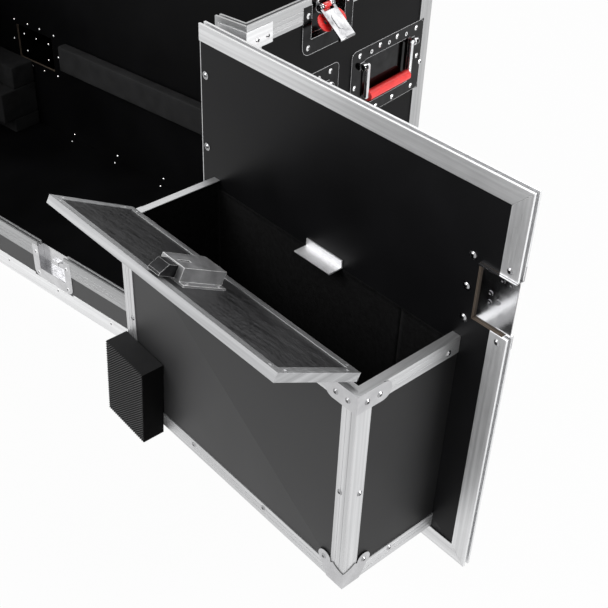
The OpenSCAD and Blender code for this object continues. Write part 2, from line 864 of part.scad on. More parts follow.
// A distance from one of the box's two front corners, as a place along the door
function box_side_x(side, n) = side == 0 ? box_x0 + n : box_x1 - n;

// A place on the door's inner face, and one on each outer face of the box
module on_door_face(x, z, y = door_in) { translate([x, y, z]) rotate([-90, 0, 0]) children(); }
module on_box_front(x, z) { translate([x, box_y1, z]) rotate([-90, 0, 0]) children(); }
module on_box_end(side, n, z) {
    translate([side == 0 ? box_x0 : box_x1, door_in + n, z]) rotate([0, side == 0 ? -90 : 90, 0]) children();
}

module right_door_rivets() {
    color("#dfe1e3") on_right_door() {
        for (k = [0 : hinge_screws - 1])
            on_door_face(hinge_screw_x, door_z0 + hinge_screw_in + k * hinge_screw_pitch, board_face)
                washer_rivet();
        for (z = [meet_latch_z - edge_rivet_pitch / 2, meet_latch_z + edge_rivet_pitch / 2])
            on_door_face(door_x1 - door_flange / 2, z) rivet();
        on_door_face(door_x1 - latch_h + washer_in, meet_latch_z, board_face) washer_rivet();
        for (side = [-1, 1])
            on_door_face(door_x1 + latch_rivets[1][1], meet_latch_z + side * latch_rivets[1][0], board_face)
                washer_rivet();
        for (p = edge_rings)
            on_door_face(door_x1 + p[1], meet_latch_z + p[0], door_out + alu + edge_pan_t) ring_rivet();
        for (side = [0, 1]) {
            for (n = bracket_rivets) on_box_end(side, box_d - n, box_z1 - bracket_rivet_drop)
                translate([0, 0, box_alu]) rivet();
            if (side == 1) on_box_end(side, box_d - brace_x, box_z + brace_z)
                translate([0, 0, box_alu]) rivet();
            on_box_end(side, box_rivet_in, box_z1 - box_rivet_in) rivet();
            on_box_end(side, box_d / 2 - box_alu, box_z + box_rivet_in) rivet();
            on_box_end(side, box_d - box_rivet_in, box_z + box_h / 2) rivet();
            for (n = bracket_rivets) on_box_front(box_side_x(side, n), box_z1 - bracket_rivet_drop)
                translate([0, 0, box_alu]) rivet();
            if (side == 1) on_box_front(box_side_x(side, brace_x), box_z + brace_z)
                translate([0, 0, box_alu]) rivet();
            on_box_front(box_side_x(side, box_rivet_in), box_z + box_h / 2) rivet();
        }
        for (x = [box_x0 + box_w / 3, box_x1 - box_w / 3]) on_box_front(x, box_z + box_rivet_in) rivet();
        at_door_foot() paired_rivets(latch_rivets);
        at_door_edge() paired_rivets(latch_rivets);
    }
}

// Accessory box
module box_front_panel() {
    color("#1b1b1c") on_right_door() block([box_x0 + box_alu, box_y1 - box_in, box_z + box_in],
        [box_x1 - box_alu, box_y1 - box_alu, box_z1 - box_alu]);
}

module box_end_panels() {
    color("#1b1b1c") on_right_door() for (x = [box_x0 + box_alu, box_x1 - box_in])
        block([x, box_y0, box_z + box_in], [x + box_ply, box_y1 - box_in, box_z1 - box_alu]);
}

module box_bottom_panel() {
    color("#1b1b1c") on_right_door() difference() {
        block([box_x0 + box_alu, box_y0, box_z + box_alu],
            [box_x1 - box_alu, box_y1 - box_alu, box_z + box_in]);
        at_door_foot() latch_hole(pan_t + slit);
    }
}

// A band round the box's three free sides
module box_band(z0, z1, t0, t1) {
    difference() {
        block([box_x0 + t0, box_y0, z0], [box_x1 - t0, box_y1 - t0, z1]);
        block([box_x0 + t1, box_y0 - 1, z0 - 1], [box_x1 - t1, box_y1 - t1, z1 + 1]);
    }
}

module box_lining() {
    color("#2a2a2b") on_right_door() difference() {
        union() {
            box_band(box_z + box_in, box_z1 - box_alu, box_in, box_in + carpet);
            block([box_x0 + box_in, box_y0, box_z + box_in],
                [box_x1 - box_in, box_y1 - box_in, box_z + box_in + carpet]);
            block([box_x0 + box_in, box_y0, box_z + box_in],
                [box_x1 - box_in, box_y0 + carpet, strike_z - strike_t]);
        }
        at_door_foot() latch_hole(pan_t + slit);
    }
}

// Outlines of a bracket and of a brace, drawn from a corner of the box with x away from the corner
module bracket_outline() {
    translate([0, box_z1 - bracket_h]) square([bracket_w - bracket_h / 2, bracket_h]);
    translate([bracket_w - bracket_h / 2, box_z1 - bracket_h / 2]) circle(bracket_h / 2);
}

module brace_outline() {
    translate([0, box_z]) difference() {
        union() {
            translate([brace_x, brace_z]) circle(brace_r);
            polygon([[0, 0], [brace_foot, 0], [brace_x + brace_r, brace_z], [brace_x - brace_r, brace_z],
                [0, brace_arc_z - brace_r]]);
        }
        translate([0, brace_arc_z]) circle(brace_arc_r);
    }
}

// The same outline on both faces of one front corner, wrapped round it
module box_corner(side) {
    translate([side == 0 ? box_x0 - box_alu : box_x1 + box_alu, box_y1 + box_alu, 0])
        mirror([side, 0, 0]) rotate([90, 0, 0]) linear_extrude(box_alu) children();
    translate([side == 0 ? box_x0 : box_x1 + box_alu, box_y1, 0])
        rotate([90, 0, -90]) linear_extrude(box_alu) children();
}

// Shallow lines along the trim's faces
module trim_lines() {
    for (z = [box_z, box_z1 - box_side], t = [1, 2])
        box_band(z + t * box_side / 3, z + t * box_side / 3 + box_groove, -1, box_groove / 2);
    for (x = [box_x0 + box_leg / 3, box_x0 + 2 * box_leg / 3, box_x1 - box_leg / 3, box_x1 - 2 * box_leg / 3])
        translate([x - box_groove / 2, box_y1 - box_groove / 2, box_z + box_side])
            cube([box_groove, box_alu, box_h - 2 * box_side]);
}

module box_trim() {
    color("#c9cbce") on_right_door() {
        difference() {
            union() {
                box_band(box_z1 - box_side, box_z1, 0, box_alu);
                box_band(box_z1 - box_alu, box_z1, 0, box_rim);
                box_band(box_z, box_z + box_side, 0, box_alu);
                box_band(box_z, box_z + box_alu, 0, box_leg);
                intersection() {
                    box_band(box_z, box_z1, 0, box_alu);
                    for (x = [box_x0, box_x1 - box_leg])
                        block([x, box_y1 - box_leg, box_z], [x + box_leg, box_y1, box_z1]);
                }
            }
            at_door_foot() latch_hole(pan_t + slit);
            trim_lines();
        }
        for (side = [0, 1]) box_corner(side) bracket_outline();
        box_corner(1) brace_outline();
    }
}

module box_bumper() {
    color("#232324") on_right_door() translate([bumper_x, box_y1 + clear + bumper_t / 2, bumper_z])
        rotate([0, bumper_turn, 0]) cube([bumper_w, bumper_t, bumper_h], center = true);
}

module strike_plate() {
    color("#c9cbce") on_right_door() translate([flap_mid - strike_w / 2, 0, 0]) {
        block([0, board_face, strike_z - strike_t], [strike_w, door_in + strike_d, strike_z]);
        block([0, board_face, strike_z], [strike_w, board_face + strike_t, strike_z + strike_leg]);
    }
}

// The flap lid, drawn closed and then turned open about its hinge
module on_flap() {
    on_right_door() translate([0, flap_axis_y, flap_axis_z]) rotate([-flap_open, 0, 0])
        translate([0, -flap_axis_y, -flap_axis_z]) children();
}

module flap_hinge_fixed_leaf() {
    color("#a9abae") on_right_door()
        translate([flap_x1 - flap_hinge_end, flap_axis_y, flap_axis_z]) rotate([-90, 0, 90])
            hinge_leaf(flap_knuckles, flap_hinge_l / flap_knuckles, 0, flap_knuckle, flap_pin, flap_leaf,
                flap_leaf_t, flap_knuckle / 2, true);
}

module flap_panel() {
    color("#1b1b1c") on_flap() block([flap_x0 + box_alu, flap_y0 + box_alu, flap_z0 + box_alu],
        [flap_x1 - box_alu, flap_y1 - box_alu, box_z1 - box_alu]);
}

module flap_frame() {
    color("#8e9093") on_flap() {
        difference() {
            block([flap_x0, flap_y0, flap_z0], [flap_x1, flap_y1, box_z1]);
            block([flap_x0 + flap_border, flap_y0 + flap_border, 0],
                [flap_x1 - flap_border, flap_y1 - flap_border, case_h]);
            block([flap_x0 + box_alu, flap_y0 + box_alu, flap_z0 + box_alu],
                [flap_x1 - box_alu, flap_y1 - box_alu, box_z1 - box_alu]);
        }
        for (x = [flap_x0, flap_x1], y = [flap_y0, flap_y1], t = [[1, 3], [3, 1]])
            translate([x, y, flap_z0])
                mirror([x == flap_x0 ? 0 : 1, 0, 0]) mirror([0, y == flap_y0 ? 0 : 1, 0])
                translate([t[0] * flap_border / 2, t[1] * flap_border / 2, 0]) rotate([180, 0, 0])
                    cylinder(d1 = flap_knuckle, d2 = flap_knuckle / 2, h = tail_t / 2, $fn = 24);
        translate([flap_x0 + flap_hinge_end, flap_axis_y, flap_axis_z]) rotate([-90, 0, -90])
            hinge_leaf(flap_knuckles, flap_hinge_l / flap_knuckles, 1, flap_knuckle, flap_pin, flap_leaf,
                flap_leaf_t, flap_knuckle / 2, false);
    }
}

module flap_latch_case() {
    color("#b9bbbe") on_flap() difference() {
        union() {
            block([flap_mid - slam_w / 2, slam_y, flap_z0 - slam_t],
                [flap_mid + slam_w / 2, slam_y + slam_l, flap_z0 + box_alu]);
            block([flap_mid - slam_w / 2 - slam_ear, slam_y, flap_z0 - slam_wall],
                [flap_mid + slam_w / 2 + slam_ear, slam_y + slam_l, flap_z0 + box_alu]);
            for (x = [-1, 1], y = [slam_ear, slam_l - slam_ear])
                translate([flap_mid + x * (slam_w + slam_ear) / 2, slam_y + y, flap_z0 - slam_wall])
                    rotate([180, 0, 0]) cylinder(d1 = slam_screw, d2 = slam_screw / 2, h = tail_t, $fn = 24);
        }
        block([flap_mid - slam_slot / 2, slam_y + slam_ear, flap_z0 - 2 * slam_t],
            [flap_mid + slam_slot / 2, slam_y + 3 * slam_ear, flap_z0 - slam_t + slam_wall + 1]);
        block([flap_mid - bolt_w / 2 - clear, slam_y - 1, flap_z0 - slam_t + slam_wall],
            [flap_mid + bolt_w / 2 + clear, slam_y + slam_l - slam_wall, flap_z0 - slam_wall]);
    }
}

module flap_latch_bolt() {
    color("#d8dadc") on_flap() difference() {
        block([flap_mid - bolt_w / 2, strike_tip, flap_z0 - slam_t + slam_wall + turn_clear],
            [flap_mid + bolt_w / 2, slam_y + slam_l - slam_wall - bolt_travel - clear,
                strike_z - strike_t - clear]);
        translate([flap_mid, strike_tip, strike_z - strike_t - bolt_nose]) rotate([bevel, 0, 0])
            translate([-bolt_w, -slam_l, -slam_t]) cube([2 * bolt_w, slam_l, 4 * slam_t]);
    }
}

// Bails, grips and latch parts at their places
module right_front_bail() { color("#c4c6c8") on_right_end(-handle_pitch / 2, handle_z) bail(); }
module right_front_grip() { color("#b3202a") on_right_end(-handle_pitch / 2, handle_z) grip(); }
module right_rear_bail() { color("#c4c6c8") on_right_end(handle_pitch / 2, handle_z) bail(); }
module right_rear_grip() { color("#b3202a") on_right_end(handle_pitch / 2, handle_z) grip(); }
module left_front_bail() { mirror([1, 0, 0]) right_front_bail(); }
module left_front_grip() { mirror([1, 0, 0]) right_front_grip(); }
module left_rear_bail() { mirror([1, 0, 0]) right_rear_bail(); }
module left_rear_grip() { mirror([1, 0, 0]) right_rear_grip(); }
module back_right_bail() { color("#c4c6c8") on_back(back_handle_x, back_handle_z) bail(); }
module back_right_grip() { color("#b3202a") on_back(back_handle_x, back_handle_z) grip(); }
module back_left_bail() { color("#c4c6c8") on_back(-back_handle_x, back_handle_z) bail(); }
module back_left_grip() { color("#b3202a") on_back(-back_handle_x, back_handle_z) grip(); }
module right_lid_wing() { color("#c0242c") at_lid_latch() latch_wing(); }
module right_lid_link() { color("#d8dadc") at_lid_latch() latch_link(); }
module left_lid_wing() { mirror([1, 0, 0]) right_lid_wing(); }
module left_lid_link() { mirror([1, 0, 0]) right_lid_link(); }
module right_door_wing() { color("#c0242c") on_right_door() at_door_foot() latch_wing(); }
module right_door_link() { color("#d8dadc") on_right_door() at_door_foot() latch_link(); }
module left_door_wing() { color("#c0242c") on_left_door() at_door_foot() latch_wing(); }
module left_door_link() { color("#d8dadc") on_left_door() at_door_foot() latch_link(); }

floor_panel();
back_panel();
right_end_panel();
left_end_panel();
sill_panel();
stile_panels();
base_angles();
corner_angles();
rim_extrusions();
corner_plates();
case_rivets();
lid_latch_dishes();
sill_keepers();
end_handle_dishes();
back_handle_dishes();
door_hinge_fixed_leaves();
back_foam_strips();
sill_foam_strips();
end_foam_blocks();
right_front_bail();
right_front_grip();
right_rear_bail();
right_rear_grip();
left_front_bail();
left_front_grip();
left_rear_bail();
left_rear_grip();
back_right_bail();
back_right_grip();
back_left_bail();
back_left_grip();
right_lid_wing();
right_lid_link();
left_lid_wing();
left_lid_link();
right_door_panel();
right_door_extrusion();
right_door_hinge_leaf();
right_door_dishes();
right_door_rivets();
right_door_wing();
right_door_link();
box_front_panel();
box_end_panels();
box_bottom_panel();
box_lining();
box_trim();
box_bumper();
strike_plate();
flap_hinge_fixed_leaf();
flap_panel();
flap_frame();
flap_latch_case();
flap_latch_bolt();
left_door_panel();
left_door_extrusion();
left_door_hinge_leaf();
left_door_dishes();
left_door_wing();
left_door_link();
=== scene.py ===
# %% [markdown]
# # A road case for a mixing desk
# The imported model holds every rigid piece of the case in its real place. We could model the case again
# here, but then the two would drift apart. So we load it as a fixed frame and dress it: first the finishes
# of the hard pieces, then the soft pieces, and at last the studio and the camera. Everything is in metres,
# with Z up and the doors towards -Y.

# %% Load the frame
import json
import math

import bmesh
import bpy
import numpy as np
from mathutils import Matrix, Vector, noise

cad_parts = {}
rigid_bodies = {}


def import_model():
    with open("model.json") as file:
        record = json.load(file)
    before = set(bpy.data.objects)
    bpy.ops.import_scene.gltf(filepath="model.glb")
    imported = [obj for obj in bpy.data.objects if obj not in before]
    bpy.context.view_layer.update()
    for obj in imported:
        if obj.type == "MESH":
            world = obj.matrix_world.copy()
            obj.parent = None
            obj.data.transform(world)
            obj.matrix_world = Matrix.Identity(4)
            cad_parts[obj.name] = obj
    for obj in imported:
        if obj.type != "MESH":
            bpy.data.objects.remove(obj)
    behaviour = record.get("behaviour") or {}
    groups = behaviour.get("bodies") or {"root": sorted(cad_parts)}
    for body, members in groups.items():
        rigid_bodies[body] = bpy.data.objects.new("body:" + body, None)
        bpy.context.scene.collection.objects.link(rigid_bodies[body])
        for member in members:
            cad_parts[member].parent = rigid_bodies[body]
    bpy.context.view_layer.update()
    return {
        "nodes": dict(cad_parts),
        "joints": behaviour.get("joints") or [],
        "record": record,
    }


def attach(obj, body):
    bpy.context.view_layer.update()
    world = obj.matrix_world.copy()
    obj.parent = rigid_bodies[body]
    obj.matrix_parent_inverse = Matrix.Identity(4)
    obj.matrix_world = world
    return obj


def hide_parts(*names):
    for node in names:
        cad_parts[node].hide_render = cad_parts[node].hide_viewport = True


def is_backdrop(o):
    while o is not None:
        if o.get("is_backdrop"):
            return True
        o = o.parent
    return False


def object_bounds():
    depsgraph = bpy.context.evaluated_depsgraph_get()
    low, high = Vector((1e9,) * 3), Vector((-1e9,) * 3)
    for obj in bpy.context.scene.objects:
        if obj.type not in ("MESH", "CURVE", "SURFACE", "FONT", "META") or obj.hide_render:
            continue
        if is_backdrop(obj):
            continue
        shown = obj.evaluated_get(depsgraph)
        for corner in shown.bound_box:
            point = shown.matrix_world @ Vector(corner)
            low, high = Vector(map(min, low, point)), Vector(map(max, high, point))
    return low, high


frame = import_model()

nodes = frame["nodes"]
joints = {j["name"]: j for j in frame["joints"]}
print("pieces in the frame:", len(nodes), "joints:", len(joints))

# %% [markdown]
# ## Where the right door stands
# The accessory box rides on the right door, and the door stands open at a slant. Its soft pieces could be
# placed in X and Y, but then every size on the box would be mixed with the slant. The door's joint gives
# the hinge line and how far the door is from shut, so we work in the door's own directions instead: `along`
# runs from the hinge to the free edge, `out` stands off the door's inner face, and `up` is up.

# %% The door's own directions
door_joint = joints["right_door_swing"]
open_angle = math.radians(door_joint["range_deg"][1])
hinge_point = Vector((door_joint["pos_m"][0], door_joint["pos_m"][1], 0.0))
along = Vector((-math.cos(open_angle), -math.sin(open_angle), 0.0))
out = Vector((-math.sin(open_angle), math.cos(open_angle), 0.0))
up = Vector((0.0, 0.0, 1.0))
# the ways in which the boards and profiles of the case and of the open door can lie
ways = (Vector((1, 0, 0)), along, out, up, Vector((0, 1, 0)))


def to_door(point):
    offset = Vector(point) - hinge_point
    return Vector((offset.dot(along), offset.dot(out), offset.z))


def from_door(q, n, z):
    return hinge_point + along * q + out * n + up * z


print("door opens", round(math.degrees(open_angle), 1), "degrees; along =", [round(x, 4) for x in along])

# %% [markdown]
# ## A small kit for finishes
# Every finish here is made of shader nodes, which can be drawn by hand in the shader editor. Written out in
# full they would fill pages, so a few helpers keep the cells short: one starts a finish, one adds a node,
# and one adds a noise that is measured in real sizes, so a grain of one millimetre stays one millimetre on
# every piece.

# %% Start a finish and join its nodes
finishes = {}


def start_finish(name):
    mat = bpy.data.materials.new(name)
    mat.use_nodes = True
    tree = mat.node_tree
    tree.nodes.clear()
    shader = tree.nodes.new("ShaderNodeBsdfPrincipled")
    output = tree.nodes.new("ShaderNodeOutputMaterial")
    tree.links.new(shader.outputs[0], output.inputs[0])
    finishes[name] = mat
    return tree, shader


def add(tree, kind, **settings):
    node = tree.nodes.new(kind)
    for key, value in settings.items():
        setattr(node, key, value)
    return node


def link(tree, a, b):
    tree.links.new(a, b)


print("a finish starts with a shader and an output")

# %% [markdown]
# ## Noise, blends and bumps
# Real surfaces are never one even colour: they are clouded, grained and dented a little. Each of these
# could be a painted picture, but pictures blur up close and need to be unwrapped onto every piece. Noise in
# space needs neither. These helpers turn it into a range of values, a blend of two colours or a bump.

# %% Helpers for noise, blends and bumps


def grain(tree, millimetres, detail=2.0, roughness=0.5, vector=None):
    tex = add(tree, "ShaderNodeTexNoise")
    tex.inputs["Scale"].default_value = 1000.0 / millimetres
    tex.inputs["Detail"].default_value = detail
    tex.inputs["Roughness"].default_value = roughness
    if vector is None:
        vector = add(tree, "ShaderNodeTexCoord").outputs["Object"]
    link(tree, vector, tex.inputs["Vector"])
    return tex.outputs["Fac"]


def spread(tree, fac, low, high, from_low=0.3, from_high=0.7):
    node = add(tree, "ShaderNodeMapRange")
    node.inputs["From Min"].default_value = from_low
    node.inputs["From Max"].default_value = from_high
    node.inputs["To Min"].default_value = low
    node.inputs["To Max"].default_value = high
    link(tree, fac, node.inputs["Value"])
    return node.outputs["Result"]


def sum_of(tree, a, b):
    node = add(tree, "ShaderNodeMath", operation="ADD")
    link(tree, a, node.inputs[0])
    link(tree, b, node.inputs[1])
    return node.outputs[0]


def blend_colours(tree, fac, first, second):
    # the sockets go by number, because the node has sockets of the same names for numbers and for vectors
    node = add(tree, "ShaderNodeMix", data_type="RGBA")
    for socket, colour in ((node.inputs[6], first), (node.inputs[7], second)):
        if isinstance(colour, tuple):
            socket.default_value = (*colour, 1.0)
        else:
            link(tree, colour, socket)
    link(tree, fac, node.inputs[0])
    return node.outputs[2]


def bump(tree, shader, height, strength, distance_mm):
    node = add(tree, "ShaderNodeBump")
    node.inputs["Strength"].default_value = strength
    node.inputs["Distance"].default_value = distance_mm / 1000.0
    link(tree, height, node.inputs["Height"])
    link(tree, node.outputs["Normal"], shader.inputs["Normal"])


print("helpers ready")

# %% [markdown]
# ## Black laminate
# The walls are plywood faced with a hard black laminate. Up close it has a fine pebble grain that breaks up
# the highlights, and very faint cloudy wear. A plain black shader would look like flat paint on such large
# panels. So we use two noises: one at about a millimetre drives the bump, and one wider than a hand moves
# the colour and the roughness a little. Only the walls keep the laminate's own black. The greyer pairs on
# the doors, the box and the sill are painted light: copies of the same laminate, greyer where a panel
# catches more light.

# %% Black laminate
cloud_mm = 140.0
pebble_mm = 0.9


def make_laminate(name, dark, light, rough_low, rough_high, shine):
    tree, shader = start_finish(name)
    cloud = grain(tree, cloud_mm, detail=4.0)
    pebble = grain(tree, pebble_mm, detail=3.0)
    colour = blend_colours(tree, spread(tree, cloud, 0.0, 1.0), dark, light)
    link(tree, colour, shader.inputs["Base Color"])
    link(tree, spread(tree, cloud, rough_low, rough_high), shader.inputs["Roughness"])
    bump(tree, shader, pebble, strength=0.25, distance_mm=0.12)
    shader.inputs["Specular IOR Level"].default_value = shine


make_laminate("wall_laminate", (0.0022, 0.0022, 0.0024), (0.0045, 0.0045, 0.005), 0.42, 0.52, shine=0.07)
# The four pairs below are painted light: greyer copies of the wall laminate for panels that catch more light.
make_laminate("door_laminate_painted_light", (0.004, 0.004, 0.0044), (0.008, 0.008, 0.009), 0.40, 0.50, shine=0.12)
make_laminate("box_laminate_painted_light", (0.020, 0.020, 0.021), (0.030, 0.030, 0.031), 0.44, 0.54, shine=0.42)
make_laminate("box_end_laminate_painted_light", (0.005, 0.005, 0.0053), (0.009, 0.009, 0.0095), 0.44, 0.54, shine=0.28)
make_laminate("sill_laminate_painted_light", (0.040, 0.040, 0.041), (0.056, 0.056, 0.057), 0.44, 0.54, shine=0.5)
print("laminates:", [name for name in finishes if "laminate" in name])

# %% [markdown]
# ## The flap lid's worn panel
# The flap's own panel is handled far more than the walls. It is rubbed grey, with streaks along its length
# and small mottled marks across them. Scratches could be drawn one by one, but a noise stretched along X,
# which is nearly the flap's length, makes streaks of every size at once, and a finer noise breaks them up.

# %% Worn flap panel
worn_from, worn_to = 0.75, 1.3

tree, shader = start_finish("flap_laminate")
place = add(tree, "ShaderNodeTexCoord").outputs["Object"]
stretch = add(tree, "ShaderNodeMapping")
stretch.inputs["Scale"].default_value = (0.12, 1.0, 1.0)
link(tree, place, stretch.inputs["Vector"])
streaks = grain(tree, 7.0, detail=5.0, roughness=0.65, vector=stretch.outputs["Vector"])
marks = grain(tree, 3.5, detail=4.0, roughness=0.6)
wear = sum_of(tree, streaks, marks)
worn = spread(tree, wear, 0.0, 1.0, worn_from, worn_to)
colour = blend_colours(tree, worn, (0.006, 0.006, 0.0065), (0.055, 0.055, 0.057))
link(tree, colour, shader.inputs["Base Color"])
link(tree, spread(tree, wear, 0.34, 0.58, worn_from, worn_to), shader.inputs["Roughness"])
bump(tree, shader, marks, strength=0.5, distance_mm=0.15)
shader.inputs["Specular IOR Level"].default_value = 0.35
print("worn panel ready")

# %% [markdown]
# ## Cut edges of the plywood
# Where a dish is let into a wall, the cut shows the plies: thin pale and brown layers that lie along the
# board. Separate layers could be modelled, but they would multiply the faces for a strip a few millimetres
# wide. The finish draws them from the distance through the board instead. That distance differs for each
# board, so each board's points carry it as an attribute.

# %% Plywood edge
ply_pair = 0.0028  # a pale ply and a brown one

tree, shader = start_finish("ply_edge")
through = add(tree, "ShaderNodeAttribute", attribute_name="through").outputs["Fac"]
turns = add(tree, "ShaderNodeMath", operation="MULTIPLY")
turns.inputs[1].default_value = 2.0 * math.pi / ply_pair
link(tree, through, turns.inputs[0])
layer = add(tree, "ShaderNodeMath", operation="SINE")
link(tree, turns.outputs[0], layer.inputs[0])
fibres = grain(tree, 1.6, detail=5.0, roughness=0.7)
wood = sum_of(tree, layer.outputs[0], fibres)
plies = spread(tree, wood, 0.0, 1.0, -0.5, 1.5)
colour = blend_colours(tree, plies, (0.05, 0.036, 0.026), (0.22, 0.17, 0.125))
link(tree, colour, shader.inputs["Base Color"])
bump(tree, shader, wood, strength=0.4, distance_mm=0.2)
shader.inputs["Roughness"].default_value = 0.75
print("plywood edge ready")

# %% [markdown]
# ## The way each profile runs
# Aluminium profiles come out of a die, so their fine drawing lines always run along the profile's length. A
# noise can only be stretched along one direction, and these profiles run several ways. They could be split
# into one material for each way, but a mitred corner holds two. So each face gets a small `run` vector: the
# way that lies nearest to its own longest edge.

# %% Mark each face with the way its profile runs


def mark_runs(obj):
    mesh = obj.data
    runs = np.zeros((len(mesh.polygons), 3), np.float32)
    for i, face in enumerate(mesh.polygons):
        pts = [mesh.vertices[v].co for v in face.vertices]
        edges = [pts[k] - pts[k - 1] for k in range(len(pts))]
        longest = max(edges, key=lambda e: e.length)
        runs[i] = max(ways, key=lambda way: abs(longest.dot(way)))
    layer = mesh.attributes.new("run", "FLOAT_VECTOR", "FACE")
    layer.data.foreach_set("vector", runs.ravel())


print("ways a profile can run:", len(ways))

# %% [markdown]
# ## Extruded aluminium
# The metal itself is plain: a grey mirror, blurred by the drawing lines. An anisotropic shader can fake
# such lines, but it shows none up close. Here a noise is stretched along each face's run, by moving every
# point back along the run until only a small share of its distance is left. The fine lines drive the
# roughness and the bump, and a broader set of them shifts the colour. Only the first aluminium below has
# the metal's own colour. The brighter copy is painted light, and the darker copies are painted shade, for
# profiles that catch more light and for those that lie in shade.

# %% Drawn metal
line_mm = 0.5
band_mm = 6.0
line_stretch = 60.0


def drawn_coordinates(tree):
    place = add(tree, "ShaderNodeTexCoord").outputs["Object"]
    run = add(tree, "ShaderNodeAttribute", attribute_name="run").outputs["Vector"]
    reach = add(tree, "ShaderNodeVectorMath", operation="DOT_PRODUCT")
    link(tree, place, reach.inputs[0])
    link(tree, run, reach.inputs[1])
    less = add(tree, "ShaderNodeMath", operation="MULTIPLY")
    link(tree, reach.outputs["Value"], less.inputs[0])
    less.inputs[1].default_value = 1.0 / line_stretch - 1.0
    shift = add(tree, "ShaderNodeVectorMath", operation="SCALE")
    link(tree, run, shift.inputs[0])
    link(tree, less.outputs[0], shift.inputs["Scale"])
    moved = add(tree, "ShaderNodeVectorMath", operation="ADD")
    link(tree, place, moved.inputs[0])
    link(tree, shift.outputs[0], moved.inputs[1])
    return moved.outputs[0]


def make_drawn_metal(name, dark, light, rough_low, rough_high, strength=0.12):
    tree, shader = start_finish(name)
    where = drawn_coordinates(tree)
    lines = grain(tree, line_mm, detail=3.0, vector=where)
    bands = grain(tree, band_mm, detail=2.0, vector=where)
    colour = blend_colours(tree, spread(tree, bands, 0.0, 1.0), dark, light)
    link(tree, colour, shader.inputs["Base Color"])
    link(tree, spread(tree, lines, rough_low, rough_high), shader.inputs["Roughness"])
    bump(tree, shader, lines, strength, distance_mm=0.05)
    shader.inputs["Metallic"].default_value = 1.0


make_drawn_metal("drawn_aluminium", (0.58, 0.582, 0.588), (0.78, 0.783, 0.79), 0.40, 0.56, strength=0.2)
# The next four are painted light and shade: the first is brighter, painted light, and the next three are
# darker, painted shade. hinge_steel is the hinges' own steel.
make_drawn_metal("aluminium_painted_light", (0.72, 0.722, 0.728), (0.88, 0.883, 0.89), 0.40, 0.56, strength=0.15)
make_drawn_metal("box_aluminium_painted_shade", (0.52, 0.522, 0.528), (0.68, 0.683, 0.69), 0.40, 0.56, strength=0.2)
make_drawn_metal("shaded_aluminium", (0.36, 0.362, 0.366), (0.46, 0.462, 0.466), 0.40, 0.56, strength=0.15)
make_drawn_metal("flap_aluminium_painted_shade", (0.33, 0.332, 0.338), (0.48, 0.483, 0.49), 0.42, 0.56)
make_drawn_metal("hinge_steel", (0.40, 0.40, 0.41), (0.50, 0.50, 0.51), 0.28, 0.40)
print("drawn metals:", [name for name in finishes if "aluminium" in name or name == "hinge_steel"])

# %% [markdown]
# ## Painted outlines on pressed metal
# Pressed dishes mirror a dark room on their flats, while every rolled edge catches a lamp and shows as a
# thin bright line. Both are painted here: the flats get a near-black colour, a painted dark reflection, and
# the line is a painted highlight. Such a line could be a strip of its own, but then each dish would need
# one for every edge. The Bevel node gives the normal that a rounded edge would have. Where it differs from
# the true normal, an edge is near, and that makes a mask for a second colour, painted along the edges.

# %% Find the faces' edges in the shader
flat_from, edge_from = 0.995, 0.93


def near_edge(tree, radius):
    rounded = add(tree, "ShaderNodeBevel")
    rounded.samples = 8
    rounded.inputs["Radius"].default_value = radius
    alike = add(tree, "ShaderNodeVectorMath", operation="DOT_PRODUCT")
    link(tree, rounded.outputs["Normal"], alike.inputs[0])
    link(tree, add(tree, "ShaderNodeNewGeometry").outputs["Normal"], alike.inputs[1])
    return spread(tree, alike.outputs["Value"], 0.0, 1.0, flat_from, edge_from)


print("an edge is where the two normals agree by less than", flat_from)

# %% [markdown]
# ## Plated steel
# Dishes, rivets, bails and latch links are pressed steel with a bright plating. It is a smooth mirror at
# arm's length, with slight waves from the press and dull fingerprints. A perfect mirror would look like
# glass, so a broad, weak bump bends the reflections and a cloudy noise raises the roughness in patches.
# Brackets, the strike plate and the slam latch are satin: the same steel with a higher roughness. A `rim`
# colour is the outline, painted along the edges: a painted highlight on a dark base and painted shade on a
# bright one.

# %% Plated steel
smudge_mm = 18.0
wave_mm = 26.0


def make_plate(name, dark, light, rough_low, rough_high, wave=0.25, rim=None, rim_mm=0.0):
    tree, shader = start_finish(name)
    smudge = grain(tree, smudge_mm, detail=5.0, roughness=0.6)
    waves = grain(tree, wave_mm, detail=1.0)
    colour = blend_colours(tree, spread(tree, smudge, 0.0, 1.0), dark, light)
    # the rim colour is painted along the edges: a painted highlight, and on dish_plating painted shade
    if rim:
        colour = blend_colours(tree, near_edge(tree, rim_mm / 1000.0), colour, rim)
    link(tree, colour, shader.inputs["Base Color"])
    link(tree, spread(tree, smudge, rough_low, rough_high), shader.inputs["Roughness"])
    bump(tree, shader, waves, wave, distance_mm=0.6)
    shader.inputs["Metallic"].default_value = 1.0


# painted light: a lighter copy of the plating for the dishes' rims, pan walls and bevels
make_plate("dish_rim_painted_light", (0.70, 0.70, 0.71), (0.86, 0.86, 0.87), 0.16, 0.26, wave=0.1)
make_plate("bright_zinc", (0.66, 0.66, 0.675), (0.82, 0.82, 0.83), 0.14, 0.26, wave=0.15)
make_plate("link_zinc", (0.10, 0.10, 0.105), (0.52, 0.52, 0.53), 0.12, 0.30, wave=0.5)
make_plate("rivet_plating", (0.80, 0.80, 0.81), (0.88, 0.88, 0.885), 0.14, 0.22, wave=0.05)
# painted shade: a greyer copy of the rivet plating for the rivets of the right door
make_plate("rivet_painted_shade", (0.26, 0.26, 0.265), (0.44, 0.44, 0.45), 0.14, 0.22, wave=0.05)
